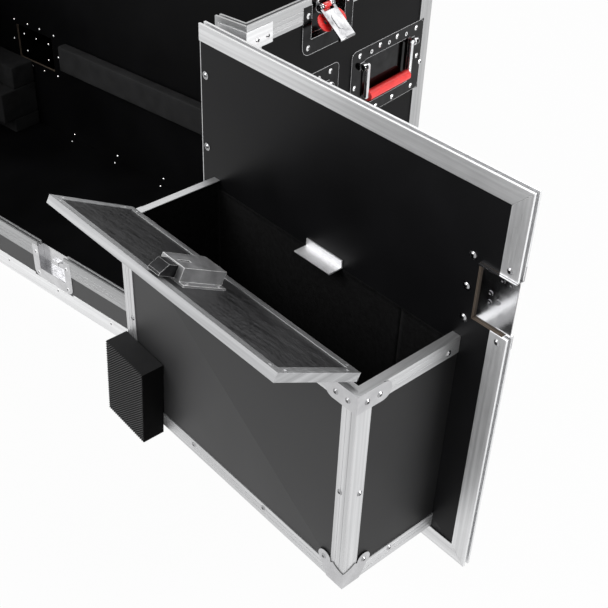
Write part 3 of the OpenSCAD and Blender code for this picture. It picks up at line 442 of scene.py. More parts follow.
# painted shade and dark reflection for the middle of each rivet top
make_plate("rivet_top_painted_shade", (0.05, 0.05, 0.052), (0.12, 0.12, 0.122), 0.20, 0.30, wave=0.05)
make_plate("bracket_satin", (0.48, 0.48, 0.49), (0.58, 0.58, 0.59), 0.38, 0.46, wave=0.05)
# painted shade: the dark outline along the brackets' cut edges
make_plate("bracket_edge_painted_shade", (0.10, 0.10, 0.10), (0.20, 0.20, 0.20), 0.40, 0.50, wave=0.05)
make_plate("strike_satin", (0.78, 0.78, 0.79), (0.88, 0.88, 0.89), 0.52, 0.62, wave=0.05)
# dish_plating's dark rim is painted shade along its edges
make_plate(
    "dish_plating", (0.50, 0.50, 0.51), (0.66, 0.66, 0.67), 0.10, 0.20,
    rim=(0.16, 0.16, 0.165), rim_mm=0.9,
)
# near-black flats as a painted dark reflection, with a painted highlight along the edges
make_plate(
    "dish_painted_dark_reflection", (0.010, 0.010, 0.0105), (0.024, 0.024, 0.025), 0.06, 0.14,
    rim=(0.86, 0.86, 0.87), rim_mm=1.3,
)
# latch_satin's white rim is a painted highlight along its edges
make_plate(
    "latch_satin", (0.22, 0.22, 0.225), (0.34, 0.34, 0.345), 0.46, 0.58, wave=0.1,
    rim=(0.95, 0.95, 0.95), rim_mm=1.4,
)
# the bolt's grey rim is a painted highlight along its edges
make_plate(
    "latch_bolt_dark", (0.020, 0.020, 0.021), (0.050, 0.050, 0.052), 0.35, 0.50,
    rim=(0.60, 0.60, 0.60), rim_mm=1.0,
)
print("finishes so far:", len(finishes))

# %% [markdown]
# ## Red rubber and red paint
# The grips are moulded red rubber: slightly soft highlights, with a grain too fine to see but strong enough
# to blur the reflection. The latch wings are steel with thick red paint, so they keep a sharp clear gloss.
# One red with one gloss would make them look like the same stuff. They share a mottled red here, and differ
# in roughness, in grain and in the paint's clear coat.

# %% Red rubber and red paint


def make_red(name, mottle_mm, dark, light, rough_low, rough_high):
    tree, shader = start_finish(name)
    mottle = grain(tree, mottle_mm, detail=3.0)
    colour = blend_colours(tree, spread(tree, mottle, 0.0, 1.0), dark, light)
    link(tree, colour, shader.inputs["Base Color"])
    link(tree, spread(tree, mottle, rough_low, rough_high), shader.inputs["Roughness"])
    return tree, shader


tree, shader = make_red("red_rubber", 9.0, (0.74, 0.022, 0.022), (0.86, 0.040, 0.036), 0.34, 0.46)
bump(tree, shader, grain(tree, 0.6, detail=2.0), strength=0.3, distance_mm=0.08)

tree, shader = make_red("red_paint", 14.0, (0.72, 0.018, 0.018), (0.84, 0.032, 0.028), 0.20, 0.30)
bump(tree, shader, grain(tree, 3.0, detail=1.0), strength=0.15, distance_mm=0.08)
shader.inputs["Coat Weight"].default_value = 0.4
print("reds:", [name for name in finishes if "red_" in name])

# %% [markdown]
# ## Foam
# The blocks, strips and the bumper are black closed-cell foam. Its cut faces are matt and finely pitted.
# The pits are far too small to model, so a cell pattern drives a bump. One black for all of them would lose
# their shapes, so some copies carry painted light and shade. The stacked blocks lie in shade and get a
# lighter black, painted light. The strips behind the sill are a lighter grey. The ribbed front of the
# bumper is painted lighter for the light it catches, and the two bumper sides that look along the door
# are painted darker, painted shade. On the ribbed front the colour also follows `crest`, which is 1 on top
# of a rib and 0 at the bottom of a groove: the grooves get painted shade, because light hardly reaches
# into them.

# %% Foam
pits_per_metre = 900.0
patch_mm = 30.0
# painted shade for the bottom of the bumper's grooves
groove_painted_shade = (0.004, 0.004, 0.004)


def make_foam(name, dark, light, shine=0.2, ribbed=False):
    tree, shader = start_finish(name)
    cells = add(tree, "ShaderNodeTexVoronoi")
    cells.inputs["Scale"].default_value = pits_per_metre
    link(tree, add(tree, "ShaderNodeTexCoord").outputs["Object"], cells.inputs["Vector"])
    patch = grain(tree, patch_mm, detail=4.0)
    colour = blend_colours(tree, spread(tree, patch, 0.0, 1.0), dark, light)
    if ribbed:
        # painted shade in the grooves: the colour falls to the groove colour where crest is 0
        crest = add(tree, "ShaderNodeAttribute", attribute_name="crest").outputs["Fac"]
        colour = blend_colours(tree, crest, groove_painted_shade, colour)
    link(tree, colour, shader.inputs["Base Color"])
    link(tree, spread(tree, patch, 0.72, 0.9), shader.inputs["Roughness"])
    bump(tree, shader, cells.outputs["Distance"], strength=0.5, distance_mm=0.25)
    shader.inputs["Specular IOR Level"].default_value = shine


make_foam("black_foam", (0.016, 0.016, 0.0165), (0.030, 0.030, 0.031))
# painted light: a lighter copy of black_foam for the stacked blocks, which lie in shade
make_foam("stacked_foam_painted_light", (0.028, 0.028, 0.0285), (0.045, 0.045, 0.046), shine=0.05)
# a lighter grey foam for the strips behind the sill
make_foam("sill_grey_foam", (0.050, 0.050, 0.051), (0.085, 0.085, 0.087))
# painted light on the bumper's lit front, with painted shade in its grooves
make_foam("ribbed_foam_painted_light", (0.105, 0.105, 0.106), (0.130, 0.130, 0.131), shine=0.05, ribbed=True)
# painted shade for the bumper sides that look along the door
make_foam("foam_side_painted_shade", (0.002, 0.002, 0.0021), (0.004, 0.004, 0.0041), shine=0.04)
print("foams:", [name for name in finishes if "foam" in name])

# %% [markdown]
# ## Needle carpet
# The inside of the accessory box is lined with thin black needle carpet, whose loose fibres catch light at
# a grazing angle. Real hairs would cost far too much inside a dark box. A strong bump from two sizes of
# noise gives the tangle, and a little sheen gives the glancing light.

# %% Needle carpet
tree, shader = start_finish("needle_carpet")
fibre = grain(tree, 1.1, detail=6.0, roughness=0.75)
clump = grain(tree, 7.0, detail=4.0, roughness=0.6)
tangle = sum_of(tree, fibre, clump)
tufts = spread(tree, tangle, 0.0, 1.0, 0.7, 1.3)
colour = blend_colours(tree, tufts, (0.0008, 0.0008, 0.0008), (0.010, 0.010, 0.0105))
link(tree, colour, shader.inputs["Base Color"])
bump(tree, shader, tangle, strength=1.0, distance_mm=0.9)
shader.inputs["Roughness"].default_value = 0.95
shader.inputs["Specular IOR Level"].default_value = 0.04
shader.inputs["Sheen Weight"].default_value = 0.06
shader.inputs["Sheen Roughness"].default_value = 0.5
print("finishes in all:", len(finishes))

# %% [markdown]
# ## Give every hard piece its finish
# The record already names a material slot for each node. Each piece could be picked out by hand, but one
# table turns those slots into finishes, and a second one names the few pieces that differ. Every piece is
# also marked with its runs: it costs little, and only the drawn metals read them.

# %% Finishes for the hard pieces
by_slot = {
    "black_ply": "wall_laminate",
    "aluminium": "drawn_aluminium",
    "dish_steel": "dish_plating",
    "hinge_steel": "hinge_steel",
    "zinc": "bright_zinc",
    "rivet_steel": "rivet_plating",
    "red_rubber": "red_rubber",
    "red_paint": "red_paint",
    "foam": "black_foam",
    "carpet": "needle_carpet",
}
# Painted light and painted shade in this table: the greyer laminate copies, the lighter and darker aluminium
# copies, the greyer door rivets and the near-black dishes, a painted dark reflection.
special = {
    "flap_panel": "flap_laminate",
    "flap_frame": "flap_aluminium_painted_shade",
    "right_door_panel": "door_laminate_painted_light",
    "left_door_panel": "door_laminate_painted_light",
    "stile_panels": "door_laminate_painted_light",
    "box_front_panel": "box_laminate_painted_light",
    "box_end_panels": "box_end_laminate_painted_light",
    "sill_panel": "sill_laminate_painted_light",
    "base_angles": "aluminium_painted_light",
    "box_trim": "box_aluminium_painted_shade",
    "right_door_rivets": "rivet_painted_shade",
    "corner_angles": "shaded_aluminium",
    "rim_extrusions": "shaded_aluminium",
    "strike_plate": "strike_satin",
    "flap_latch_case": "latch_satin",
    "flap_latch_bolt": "latch_bolt_dark",
    "lid_latch_dishes": "dish_painted_dark_reflection",
    "end_handle_dishes": "dish_painted_dark_reflection",
    "back_handle_dishes": "dish_painted_dark_reflection",
}
for latch in ("right_lid", "left_lid", "right_door", "left_door"):
    special[f"{latch}_link"] = "link_zinc"
slot_of = {row["node"]: row["material_slot"] for row in frame["record"]["subparts"]}
for name, obj in nodes.items():
    finish = finishes[special.get(name, by_slot[slot_of[name]])]
    obj.data.materials.clear()
    obj.data.materials.append(finish)
    for face in obj.data.polygons:
        face.material_index = 0
    mark_runs(obj)
print("finished", len(nodes), "pieces")

# %% [markdown]
# ## Rims of the dishes and cut faces of the boards
# A pressed dish is painted as a dark mirror where it lies flat, a painted dark reflection, while its rim
# and the walls of its pan get a lighter copy of the plating: painted light. A board is black on its faces
# and bare wood on its cuts. The faces could be picked by hand, but the direction that they look in tells
# them apart: faces that look along the plate's own normal keep the first finish, and the others take the
# second. The same pass writes how deep each point lies in the plate, for the plies.

# %% Split faces by the way they look
along_normal = 0.7


def flat_normal(obj):
    widest = max(obj.data.polygons, key=lambda face: face.area)
    return widest.normal.copy()


def second_finish(name, finish):
    obj = nodes[name]
    axis = flat_normal(obj)
    obj.data.materials.append(finishes[finish])
    count = 0
    for face in obj.data.polygons:
        if abs(face.normal.dot(axis)) < along_normal:
            face.material_index = 1
            count += 1
    through = obj.data.attributes.new("through", "FLOAT", "POINT")
    through.data.foreach_set("value", [v.co.dot(axis) for v in obj.data.vertices])
    return count


rimmed = ("lid_latch_dishes", "end_handle_dishes", "back_handle_dishes")
# the rims and pan walls of the dishes get painted light
for name in rimmed:
    print(name, "rim faces:", second_finish(name, "dish_rim_painted_light"))
walls = ("back_panel", "right_end_panel", "left_end_panel", "sill_panel")
doors = ("right_door_panel", "left_door_panel")
for name in walls + doors:
    print(name, "cut faces:", second_finish(name, "ply_edge"))

# %% [markdown]
# ## Tell the solids of a piece apart
# Some pieces of the frame hold many solids, such as all the rivets of the case. Edit mode can separate them
# by loose parts, but that would break up the frame's own objects. We only need to know which points belong
# together, so we join points that share a place or an edge and read off the groups.

# %% Find which solid a point belongs to


def solid_of(mesh):
    parent = list(range(len(mesh.vertices)))

    def root(i):
        while parent[i] != i:
            parent[i] = parent[parent[i]]
            i = parent[i]
        return i

    first_there = {}
    for v in mesh.vertices:
        place = tuple(round(c, 6) for c in v.co)
        if place in first_there:
            parent[root(v.index)] = root(first_there[place])
        else:
            first_there[place] = v.index
    for e in mesh.edges:
        parent[root(e.vertices[0])] = root(e.vertices[1])
    return [root(i) for i in range(len(mesh.vertices))]


print("solids among the case's rivets:", len(set(solid_of(nodes["case_rivets"].data))))

# %% [markdown]
# ## Rivet tops
# The rivets are hollow at the top, so each one reads as a bright ring with a dark middle. The hollow could
# be cut out of every head, which is a lot of geometry for a spot of a few millimetres. Colour does it: on
# each rivet we find the flat faces that lie close to its axis and paint them dark, as painted shade for the
# hollow and a painted dark reflection of the dome.

# %% Paint shade into the middle of each rivet
painted_shade_radius = 0.0023
facing = 0.97


def paint_shade_on_tops(name):
    mesh = nodes[name].data
    owner = solid_of(mesh)
    boxes = {}
    for v in mesh.vertices:
        low, high = boxes.setdefault(owner[v.index], [v.co.copy(), v.co.copy()])
        for k in range(3):
            low[k] = min(low[k], v.co[k])
            high[k] = max(high[k], v.co[k])
    middle = {k: (low + high) / 2 for k, (low, high) in boxes.items()}
    mesh.materials.append(finishes["rivet_top_painted_shade"])
    count = 0
    for face in mesh.polygons:
        if max(abs(face.normal.dot(way)) for way in ways) < facing:
            continue
        centre = middle[owner[face.vertices[0]]]
        offsets = [mesh.vertices[v].co - centre for v in face.vertices]
        if all((o - face.normal * o.dot(face.normal)).length < painted_shade_radius for o in offsets):
            face.material_index = 1
            count += 1
    return count


for name in ("case_rivets", "right_door_rivets"):
    print(name, "top faces:", paint_shade_on_tops(name))

# %% [markdown]
# ## Corner brackets of the box
# The corner brackets and the brace of the accessory box are pressed from plain sheet and lie on top of its
# aluminium trim. They are satin without drawing lines, and their cut edges are painted dark: painted shade,
# the dark outline that falls around each bracket. They belong to the trim's own piece, so they can't be
# given a finish by name. What tells them apart is how far they stand off the box: the trim is one sheet
# thick, and a bracket's outer face lies two sheets up.

# %% Give the brackets their own finish


def door_box(node):
    pts = [to_door(v.co) for v in nodes[node].data.vertices]
    low = Vector([min(p[k] for p in pts) for k in range(3)])
    high = Vector([max(p[k] for p in pts) for k in range(3)])
    return low, high


sheet = 0.0012
over_trim = 1.3 * sheet
under_bracket_top = 1.9 * sheet
flat_on = 0.98
front_low, front_high = door_box("box_front_panel")
trim = nodes["box_trim"].data
trim.materials.append(finishes["bracket_satin"])
trim.materials.append(finishes["bracket_edge_painted_shade"])
count = 0
for face in trim.polygons:
    p = to_door(face.center)
    stands_off = max(p.y - front_high.y, p.x - front_high.x, front_low.x - p.x)
    if stands_off > over_trim:
        flat = max(abs(face.normal.dot(along)), abs(face.normal.dot(out))) > flat_on
        top = flat and stands_off >= under_bracket_top
        # faces off a bracket's top take the painted shade of its outline
        face.material_index = 1 if top else 2
        count += 1
print("bracket faces:", count)

# %% [markdown]
# ## Soften the sharp edges
# Real edges are never razor sharp: sawn board is sanded, extrusions have a small radius, and pressed plates
# roll at the rim. That thin rounded edge is what catches the light. It could be shaded on with a bump, but
# real geometry also shows in the outline. The imported model's corners are split, so a weld joins them first
# and the bevel can then follow them. On the rimmed dishes the bevel takes the rim's painted light.

# %% Small bevels on the hard pieces
bevel_mm = {
    "black_ply": 0.4,
    "aluminium": 0.35,
    "dish_steel": 0.4,
    "zinc": 0.3,
    "red_paint": 0.4,
    "hinge_steel": 0.2,
}
dish_rim_mm = 0.8
same_place = 0.00001
sharp_angle = math.radians(50)


def soften(obj, width_mm):
    weld = obj.modifiers.new("weld", "WELD")
    weld.merge_threshold = same_place
    edge = obj.modifiers.new("edge", "BEVEL")
    edge.width = width_mm / 1000.0
    edge.segments = 2
    edge.limit_method = "ANGLE"
    edge.angle_limit = sharp_angle
    edge.use_clamp_overlap = True
    edge.harden_normals = True
    return edge


softened = [name for name in nodes if slot_of[name] in bevel_mm]
for name in softened:
    # the dishes' bevels take the rims' painted light
    if name in rimmed:
        edge = soften(nodes[name], dish_rim_mm)
        edge.material = 1
    else:
        soften(nodes[name], bevel_mm[slot_of[name]])
print("softened the edges of", len(softened), "pieces")

# %% [markdown]
# ## Bring new pieces into the scene
# The soft pieces come next, and they are built point by point in a bmesh, Blender's workbench for meshes.
# An operator such as "add cube" would also work, but it depends on what is selected. A bmesh is written
# into a mesh, the mesh hangs on an object, and the object is linked into the scene.

# %% Helpers for new pieces


def into_scene(name, data):
    obj = bpy.data.objects.new(name, data)
    bpy.context.scene.collection.objects.link(obj)
    return obj


def new_piece(name, bm):
    mesh = bpy.data.meshes.new(name)
    bm.to_mesh(mesh)
    bm.free()
    return into_scene(name, mesh)


print("objects before the soft pieces:", len(bpy.context.scene.collection.all_objects))

# %% [markdown]
# ## A rounded foam block
# A cut foam block is not a perfect box: its corners are slightly rounded and its faces wander by a fraction
# of a millimetre. A scaled cube with a bevel would round the corners, but its faces would stay dead flat.
# So the faces are cut into a fine grid, and a smooth noise moves each point along its normal. The noise is
# the same on every run.

# %% Build one foam block
foam_radius = 0.003
foam_step = 0.012
foam_wander = 0.0004
dents_per_metre = 60.0


def foam_block(name, low, high, finish):
    size = [b - a for a, b in zip(low, high)]
    middle = Vector([(a + b) / 2 for a, b in zip(low, high)])
    bm = bmesh.new()
    bmesh.ops.create_cube(bm, size=1.0)
    bmesh.ops.scale(bm, vec=[s - 2 * foam_wander for s in size], verts=bm.verts)
    bmesh.ops.bevel(bm, geom=bm.edges[:], offset=foam_radius, segments=3, profile=0.5, affect="EDGES")
    for k in range(3):
        cuts = max(1, int(size[k] / foam_step))
        for c in range(1, cuts):
            at = -size[k] / 2 + size[k] * c / cuts
            normal = Vector([1.0 if i == k else 0.0 for i in range(3)])
            geom = bm.verts[:] + bm.edges[:] + bm.faces[:]
            bmesh.ops.bisect_plane(bm, geom=geom, plane_co=normal * at, plane_no=normal)
    bm.normal_update()
    # names of different lengths start at different places in the noise
    start = Vector((len(name), 3.1, 7.7))
    for v in bm.verts:
        v.co += v.normal * foam_wander * noise.noise(v.co * dents_per_metre + start)
    for v in bm.verts:
        v.co = v.co + middle
    bmesh.ops.recalc_face_normals(bm, faces=bm.faces[:])
    block = new_piece(name, bm)
    for face in block.data.polygons:
        face.use_smooth = True
    block.data.materials.append(finishes[finish])
    return block


print("a foam face is cut about every", round(1000 * foam_step), "mm")

# %% [markdown]
# ## Foam blocks and strips
# Foam lines the case where the desk would rub: stacked blocks at the ends, a strip on the back wall and
# four strips behind the sill. Their places could be typed in, but the frame already holds a plain solid for
# each. The case's foam lies square to X, Y and Z, so each solid is measured along these and rebuilt in its
# place.

# %% Dress the case's foam


def loose_parts(node):
    mesh = nodes[node].data
    owner = solid_of(mesh)
    groups = {}
    for v in mesh.vertices:
        groups.setdefault(owner[v.index], []).append(v.co.copy())
    return list(groups.values())


def dress_foam(node, body, finish):
    made = []
    for k, points in enumerate(loose_parts(node)):
        low = [min(p[i] for p in points) for i in range(3)]
        high = [max(p[i] for p in points) for i in range(3)]
        piece = foam_block(f"{node}_cut_{k + 1}", low, high, finish)
        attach(piece, body)
        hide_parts(node)
        made.append(piece)
    return made


foam_finish = {
    "end_foam_blocks": "stacked_foam_painted_light",
    "back_foam_strips": "black_foam",
    "sill_foam_strips": "sill_grey_foam",
}
for node, finish in foam_finish.items():
    print(node, "->", len(dress_foam(node, "case", finish)), "pieces")

# %% [markdown]
# ## Measure the bumper
# A foam bumper on the accessory box keeps it off the desk when the door shuts. It is glued on by hand, so
# it sits a few degrees askew. Its box in the door's directions would come out too large, because of that
# tilt. The corners of its face give the true width, height and tilt.

# %% Measure the bumper
bumper_points = [to_door(v.co) for v in nodes["box_bumper"].data.vertices]
middle = sum(bumper_points, Vector()) / len(bumper_points)
face_points = [(p.x - middle.x, p.z - middle.z) for p in bumper_points]
top_far = max(face_points, key=lambda p: p[0] + p[1])
top_near = max(face_points, key=lambda p: p[1] - p[0])
low_far = min(face_points, key=lambda p: p[1] - p[0])
tilt = math.atan2(top_far[1] - top_near[1], top_far[0] - top_near[0])
width = math.hypot(top_far[0] - top_near[0], top_far[1] - top_near[1])
height = math.hypot(top_far[0] - low_far[0], top_far[1] - low_far[1])
base = min(p.y for p in bumper_points)
depth = max(p.y for p in bumper_points) - base
print("bumper", [round(1000 * x) for x in (width, depth, height)], "mm, tilt", round(math.degrees(tilt), 1))

# %% [markdown]
# ## The bumper's ribs
# The front carries fine moulded ribs that climb across it at a slant. A bump in the material could draw
# them, but it looks flat in raking light and the exported shape would lose it. So the ribs are real: the
# front is a fine grid that a wave pushes in and out.

# %% The wave of the ribs
rib_slant = math.radians(47.4)
rib_pitch = 0.00326
rib_deep = 0.0014


def groove(x, z):
    # 0 on top of a rib and 1 at the bottom of a groove
    across = z * math.cos(rib_slant) - x * math.sin(rib_slant)
    return 0.5 - 0.5 * math.cos(2 * math.pi * across / rib_pitch)


print("ribs across the bumper's height:", round(height * math.cos(rib_slant) / rib_pitch))

# %% [markdown]
# ## Build the bumper
# The block is six grids sewn together at their borders. The front's last millimetres ease inwards along a
# quarter of a circle, which gives foam its soft arris. One subdivided cube would spend the front's fine
# grid on all six faces, and here the sides get only a few steps.

# %% Build the bumper's six faces
cols = 170
rows = 260
side_steps = 8
arris = 0.0025
sewing_distance = 0.00005


def make_bumper():
    bm = bmesh.new()
    half_width = width / 2
    half_height = height / 2

    def face_grid(nu, nv, place):
        grid = [[bm.verts.new(place(i / nu, j / nv)) for j in range(nv + 1)] for i in range(nu + 1)]
        for i in range(nu):
            for j in range(nv):
                bm.faces.new((grid[i][j], grid[i + 1][j], grid[i + 1][j + 1], grid[i][j + 1]))

    def eased(t, half):
        d = min(t, 1 - t) * 2 * half
        return 0.0 if d >= arris else arris - math.sqrt(max(0.0, arris * arris - (arris - d) ** 2))

    def front(i, j):
        x, z = (i - 0.5) * width, (j - 0.5) * height
        drop = max(eased(i, half_width), eased(j, half_height))
        return Vector((x, depth - drop - rib_deep * groove(x, z), z))

    def side(sign):
        return lambda i, j: Vector((sign * half_width, i * (depth - arris), (j - 0.5) * height))

    def cap(sign):
        return lambda i, j: Vector(((i - 0.5) * width, j * (depth - arris), sign * half_height))

    def back(i, j):
        return Vector(((i - 0.5) * width, 0.0, (j - 0.5) * height))

    face_grid(cols, rows, front)
    face_grid(side_steps, rows, side(-1))
    face_grid(side_steps, rows, side(1))
    face_grid(cols, side_steps, cap(1))
    face_grid(cols, side_steps, cap(-1))
    face_grid(cols, rows // side_steps, back)
    bmesh.ops.remove_doubles(bm, verts=bm.verts[:], dist=sewing_distance)
    return bm


bm = make_bumper()
print("bumper points:", len(bm.verts))

# %% [markdown]
# ## Put the bumper on the box
# The block is still square to the door, so it is turned by the tilt, moved to its middle and carried from
# the door's directions into the scene. It has three finishes, and they go by place: the ribbed front,
# painted lighter for the light it catches, plain foam behind it, and painted shade on the faces that look
# along the door. Each point also takes its `crest` along, so the painted shade in the grooves holds from
# every side.

# %% Turn, place and finish the bumper
front_faces = cols * rows
ribbed_depth = 0.002
looks_along = 0.9

spin = Matrix.Rotation(-tilt, 3, "Y")
crests = [1.0 - groove(v.co.x, v.co.z) for v in bm.verts]
for v in bm.verts:
    local = spin @ Vector((v.co.x, 0.0, v.co.z))
    v.co = from_door(middle.x + local.x, base + v.co.y, middle.z + local.z)
# the ribbed front is wound outwards as it is built, and only the plain faces behind it need turning
bmesh.ops.recalc_face_normals(bm, faces=bm.faces[front_faces:])
bumper = new_piece("ribbed_bumper", bm)
mesh = bumper.data
mesh.attributes.new("crest", "FLOAT", "POINT").data.foreach_set("value", crests)
# the front takes painted light, and the faces that look along the door take painted shade
for finish in ("ribbed_foam_painted_light", "black_foam", "foam_side_painted_shade"):
    mesh.materials.append(finishes[finish])
ribbed_from = base + depth - ribbed_depth
for face in mesh.polygons:
    if abs(face.normal.dot(along)) > looks_along:
        face.material_index = 2
    elif to_door(face.center).y < ribbed_from:
        face.material_index = 1
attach(bumper, "right_door")
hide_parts("box_bumper")
looking_out = sum(1 for face in mesh.polygons[:front_faces] if face.normal.dot(out) > 0)
print("bumper faces:", len(mesh.polygons), "of the ribbed front looking out:", looking_out, "of", front_faces)

# %% [markdown]
# ## One sheet of carpet
# The lining is thin carpet glued to the inside of the box, so it follows the walls but never lies quite
# flat. A cloth simulation could drape it, but glued carpet hardly moves. Each wall gets its own fine sheet
# with real thickness instead: the back lies on the wall, and two noises push the face in and out, a fine
# one for the fibres and a broad one for puckers.

# %% Make one sheet of carpet
nap = 0.0024
settled = 0.0007
carpet_step = 0.006
fibres_per_metre, fibre_rise = 190.0, 0.0005
puckers_per_metre, pucker_rise = 28.0, 0.0004


def carpet_lift(place):
    fibres = noise.noise(place * fibres_per_metre) * fibre_rise
    puckers = noise.noise(place * puckers_per_metre) * pucker_rise
    return nap - settled + (fibres + puckers)


def carpet_wall(bm, origin, side_a, side_b, inward):
    na = max(2, int(side_a.length / carpet_step))
    nb = max(2, int(side_b.length / carpet_step))
    wall = []
    face = []
    for grid, lifted in ((wall, False), (face, True)):
        for i in range(na + 1):
            spots = [origin + side_a * (i / na) + side_b * (j / nb) for j in range(nb + 1)]
            lifts = [carpet_lift(spot) if lifted else 0.0 for spot in spots]
            grid.append([bm.verts.new(spot + inward * lift) for spot, lift in zip(spots, lifts)])
    for i in range(na):
        for j in range(nb):
            bm.faces.new((face[i][j], face[i + 1][j], face[i + 1][j + 1], face[i][j + 1])).smooth = True
            bm.faces.new((wall[i][j], wall[i][j + 1], wall[i + 1][j + 1], wall[i + 1][j])).smooth = True
    for i in range(na):
        bm.faces.new((wall[i][0], wall[i + 1][0], face[i + 1][0], face[i][0]))
        bm.faces.new((face[i][nb], face[i + 1][nb], wall[i + 1][nb], wall[i][nb]))
    for j in range(nb):
        bm.faces.new((face[0][j], face[0][j + 1], wall[0][j + 1], wall[0][j]))
        bm.faces.new((wall[na][j], wall[na][j + 1], face[na][j + 1], face[na][j]))


print("carpet stands", round(1000 * (nap - settled), 1), "mm off its wall, give or take its fibres")

# %% [markdown]
# ## The cut-out for the foot latch
# The latch at the foot of the door reaches into the box, so the carpet is cut away around it. A boolean
# could cut the hole after the sheets are made, and would leave ragged faces on their uneven sides. It is
# simpler to lay the sheets around it. The plain lining of the frame has the same cut-out, and apart from
# its end walls the points of the cut-out are the only ones it has, so their box is the hole.

# %% Measure the cut-out
low, high = door_box("box_lining")
past_end_wall = 0.0035
lining_points = [to_door(v.co) for v in nodes["box_lining"].data.vertices]
hole = [p for p in lining_points if low.x + past_end_wall < p.x < high.x - past_end_wall]
hole_near = min(p.x for p in hole)
hole_far = max(p.x for p in hole)
hole_out = max(p.y for p in hole)
hole_top = max(p.z for p in hole)
print("latch hole in the lining", [round(1000 * c, 1) for c in (hole_near, hole_far, hole_out, hole_top)])

# %% [markdown]
# ## Line the accessory box
# Now the sheets go in. The front and the two ends are whole sheets. On the door's side the carpet stops
# under the strike plate, and both this sheet and the floor are laid in three strips, so that the middle one
# can leave the hole free. One bent sheet would stretch its grid at every corner.

# %% Line the accessory box
strike_low = door_box("strike_plate")[0]
span_q = Vector((high.x - low.x, 0, 0))
span_n = Vector((0, high.y - low.y, 0))
span_z = Vector((0, 0, high.z - low.z))
door_tall = strike_low.z - low.z

bm = bmesh.new()
carpet_wall(bm, Vector((low.x, high.y, low.z)), span_q, span_z, Vector((0, -1, 0)))
carpet_wall(bm, Vector((low.x, low.y, low.z)), span_n, span_z, Vector((1, 0, 0)))
carpet_wall(bm, Vector((high.x, low.y, low.z)), span_n, span_z, Vector((-1, 0, 0)))
for x0, x1, z0 in ((low.x, hole_near, low.z), (hole_near, hole_far, hole_top), (hole_far, high.x, low.z)):
    rise = Vector((0, 0, low.z + door_tall - z0))
    carpet_wall(bm, Vector((x0, low.y, z0)), Vector((x1 - x0, 0, 0)), rise, Vector((0, 1, 0)))
for x0, x1, y0 in ((low.x, hole_near, low.y), (hole_near, hole_far, hole_out), (hole_far, high.x, low.y)):
    reach = Vector((0, high.y - y0, 0))
    carpet_wall(bm, Vector((x0, y0, low.z)), Vector((x1 - x0, 0, 0)), reach, Vector((0, 0, 1)))
for v in bm.verts:
    v.co = from_door(*v.co)
bmesh.ops.recalc_face_normals(bm, faces=bm.faces[:])
lining = new_piece("carpet_lining", bm)
lining.data.materials.append(finishes["needle_carpet"])
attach(lining, "right_door")
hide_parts("box_lining")
print("lining faces:", len(lining.data.polygons))

# %% [markdown]
# ## White where only the eye sees it
# The photograph has a plain white ground, and polished metal mirrors it. A floor lit until it turns white
# would throw so much light back that the black case turns grey. The Light Path node tells what kind of ray
# meets a surface. Rays from the camera, and those that a glossy or clear surface sends on, get white, and
# the light that falls on the object stays as it is.

# %% Tell which rays see white


def rays_that_see_white(tree):
    rays = add(tree, "ShaderNodeLightPath")
    seen = rays.outputs["Is Camera Ray"]
    for kind in ("Is Glossy Ray", "Is Transmission Ray"):
        either = add(tree, "ShaderNodeMath", operation="MAXIMUM")
        link(tree, seen, either.inputs[0])
        link(tree, rays.outputs[kind], either.inputs[1])
        seen = either.outputs[0]
    return seen


print("white ground for camera, mirror and glass rays")

# %% [markdown]
# ## Floor
# The case stands on a pale studio floor that runs out of sight. A floor that is all glow would lose the
# object's shadow, and without a shadow the case seems to float. So the floor is matt and pale, and its own
# light makes up most of what the white rays see, but not all. The rest carries the shadow.

# %% Floor
floor_half = 9.0
own_light = 0.96
pale = (0.86, 0.86, 0.86, 1.0)


def studio_white(name):
    mat = bpy.data.materials.new(name)
    mat.use_nodes = True
    tree = mat.node_tree
    tree.nodes.clear()
    output = tree.nodes.new("ShaderNodeOutputMaterial")
    matt = add(tree, "ShaderNodeBsdfDiffuse")
    matt.inputs["Color"].default_value = pale
    glow = add(tree, "ShaderNodeEmission")
    glow.inputs["Strength"].default_value = 1.0
    share = add(tree, "ShaderNodeMath", operation="MULTIPLY")
    share.inputs[1].default_value = own_light
    link(tree, rays_that_see_white(tree), share.inputs[0])
    mix = add(tree, "ShaderNodeMixShader")
    link(tree, share.outputs[0], mix.inputs[0])
    link(tree, matt.outputs[0], mix.inputs[1])
    link(tree, glow.outputs[0], mix.inputs[2])
    link(tree, mix.outputs[0], output.inputs[0])
    return mat


bm = bmesh.new()
bmesh.ops.create_grid(bm, x_segments=4, y_segments=4, size=floor_half)
floor = new_piece("studio_floor", bm)
floor.data.materials.append(studio_white("studio_floor"))
floor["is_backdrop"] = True
print("floor", 2 * floor_half, "m wide")

# %% [markdown]
# ## The room around the floor
# A white studio gives a little light from everywhere, and beyond the floor's edge it looks as white as the
# floor. One bright background would do both, but its light would wash out the black. So the world is dim
# for the object and full white for the rays that see white.

# %% World
room_light = 0.25
full_white = 1.0

world = bpy.data.worlds.new("studio_world")
bpy.context.scene.world = world
world.use_nodes = True
tree = world.node_tree
tree.nodes.clear()
output = tree.nodes.new("ShaderNodeOutputWorld")
mix = add(tree, "ShaderNodeMixShader")
link(tree, rays_that_see_white(tree), mix.inputs[0])
for socket, strength in ((mix.inputs[1], room_light), (mix.inputs[2], full_white)):
    background = add(tree, "ShaderNodeBackground")
    background.inputs["Color"].default_value = (1.0, 1.0, 1.0, 1.0)
    background.inputs["Strength"].default_value = strength
    link(tree, background.outputs[0], socket)
link(tree, mix.outputs[0], output.inputs[0])
print("room light", room_light)

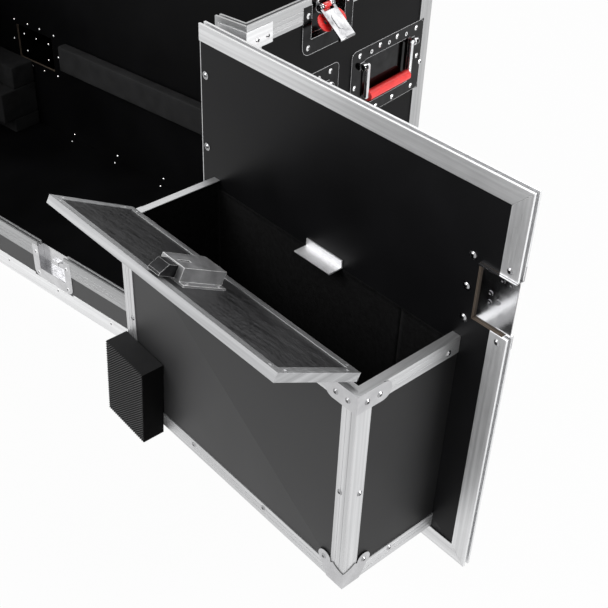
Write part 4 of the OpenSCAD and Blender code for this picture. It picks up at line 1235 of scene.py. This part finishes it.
# %% [markdown]
# ## Lamps
# Black laminate shows almost nothing but reflections, so small bright lamps would only draw hot spots on
# it. These are large and soft. One broad lamp stands high on the camera's left and one behind the case
# draws the bright top edges. The third is smaller and stands low, off the right end of the case, where it
# lights the red grips of the handles.

# %% Lamps


def lamp(name, place, aim, size, size_y, watts):
    data = bpy.data.lights.new(name, "AREA")
    data.shape = "RECTANGLE"
    data.size = size
    data.size_y = size_y
    data.energy = watts
    obj = into_scene(name, data)
    obj.location = place
    obj.rotation_euler = (Vector(aim) - Vector(place)).to_track_quat("-Z", "Y").to_euler()


lamp("key_left", (-1.8, -3.4, 3.2), (0.4, -0.2, 0.4), size=3.2, size_y=2.6, watts=110.0)
lamp("fill_right", (3.2, 0.7, 1.1), (1.1, 0.0, 0.4), size=1.6, size_y=1.2, watts=60.0)
lamp("top_back", (0.6, 2.6, 3.6), (0.6, -0.2, 0.5), size=3.4, size_y=1.6, watts=40.0)
print("lamps:", len(bpy.data.lights))

# %% [markdown]
# ## Camera
# The camera stands where the photograph was taken from: high on the front right, looking down along the
# open door. It could be aimed at the object's middle, but the photograph is a crop of a wider picture. So
# its place, its two turns and its lens were fitted to the straight edges of the case, and the small shift
# stands for the crop.

# %% Camera
cam_data = bpy.data.cameras.new("camera")
cam_data.sensor_width = 36.0
cam_data.lens = 63.25
cam_data.shift_x = 0.0969
cam_data.shift_y = 0.008
camera = into_scene("camera", cam_data)
camera.location = (1.5575, -1.2282, 1.2896)
lift_from_straight_down = math.radians(52.4)
turn_to_the_left = math.radians(42.6)
camera.rotation_euler = (lift_from_straight_down, 0.0, turn_to_the_left)
bpy.context.scene.camera = camera
bpy.context.scene.view_settings.view_transform = "Standard"
print("camera", cam_data.lens, "mm at", [round(c, 2) for c in camera.location])

# %% [markdown]
# ## Measure and finish
# The dressed object must stay the size of the frame. That could be judged by eye, but a size in numbers is
# plainer, so the last line prints the dressed object's box.

# %% Measure and finish
low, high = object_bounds()
print("visual model:", [round(x, 4) for x in low], [round(x, 4) for x in high])
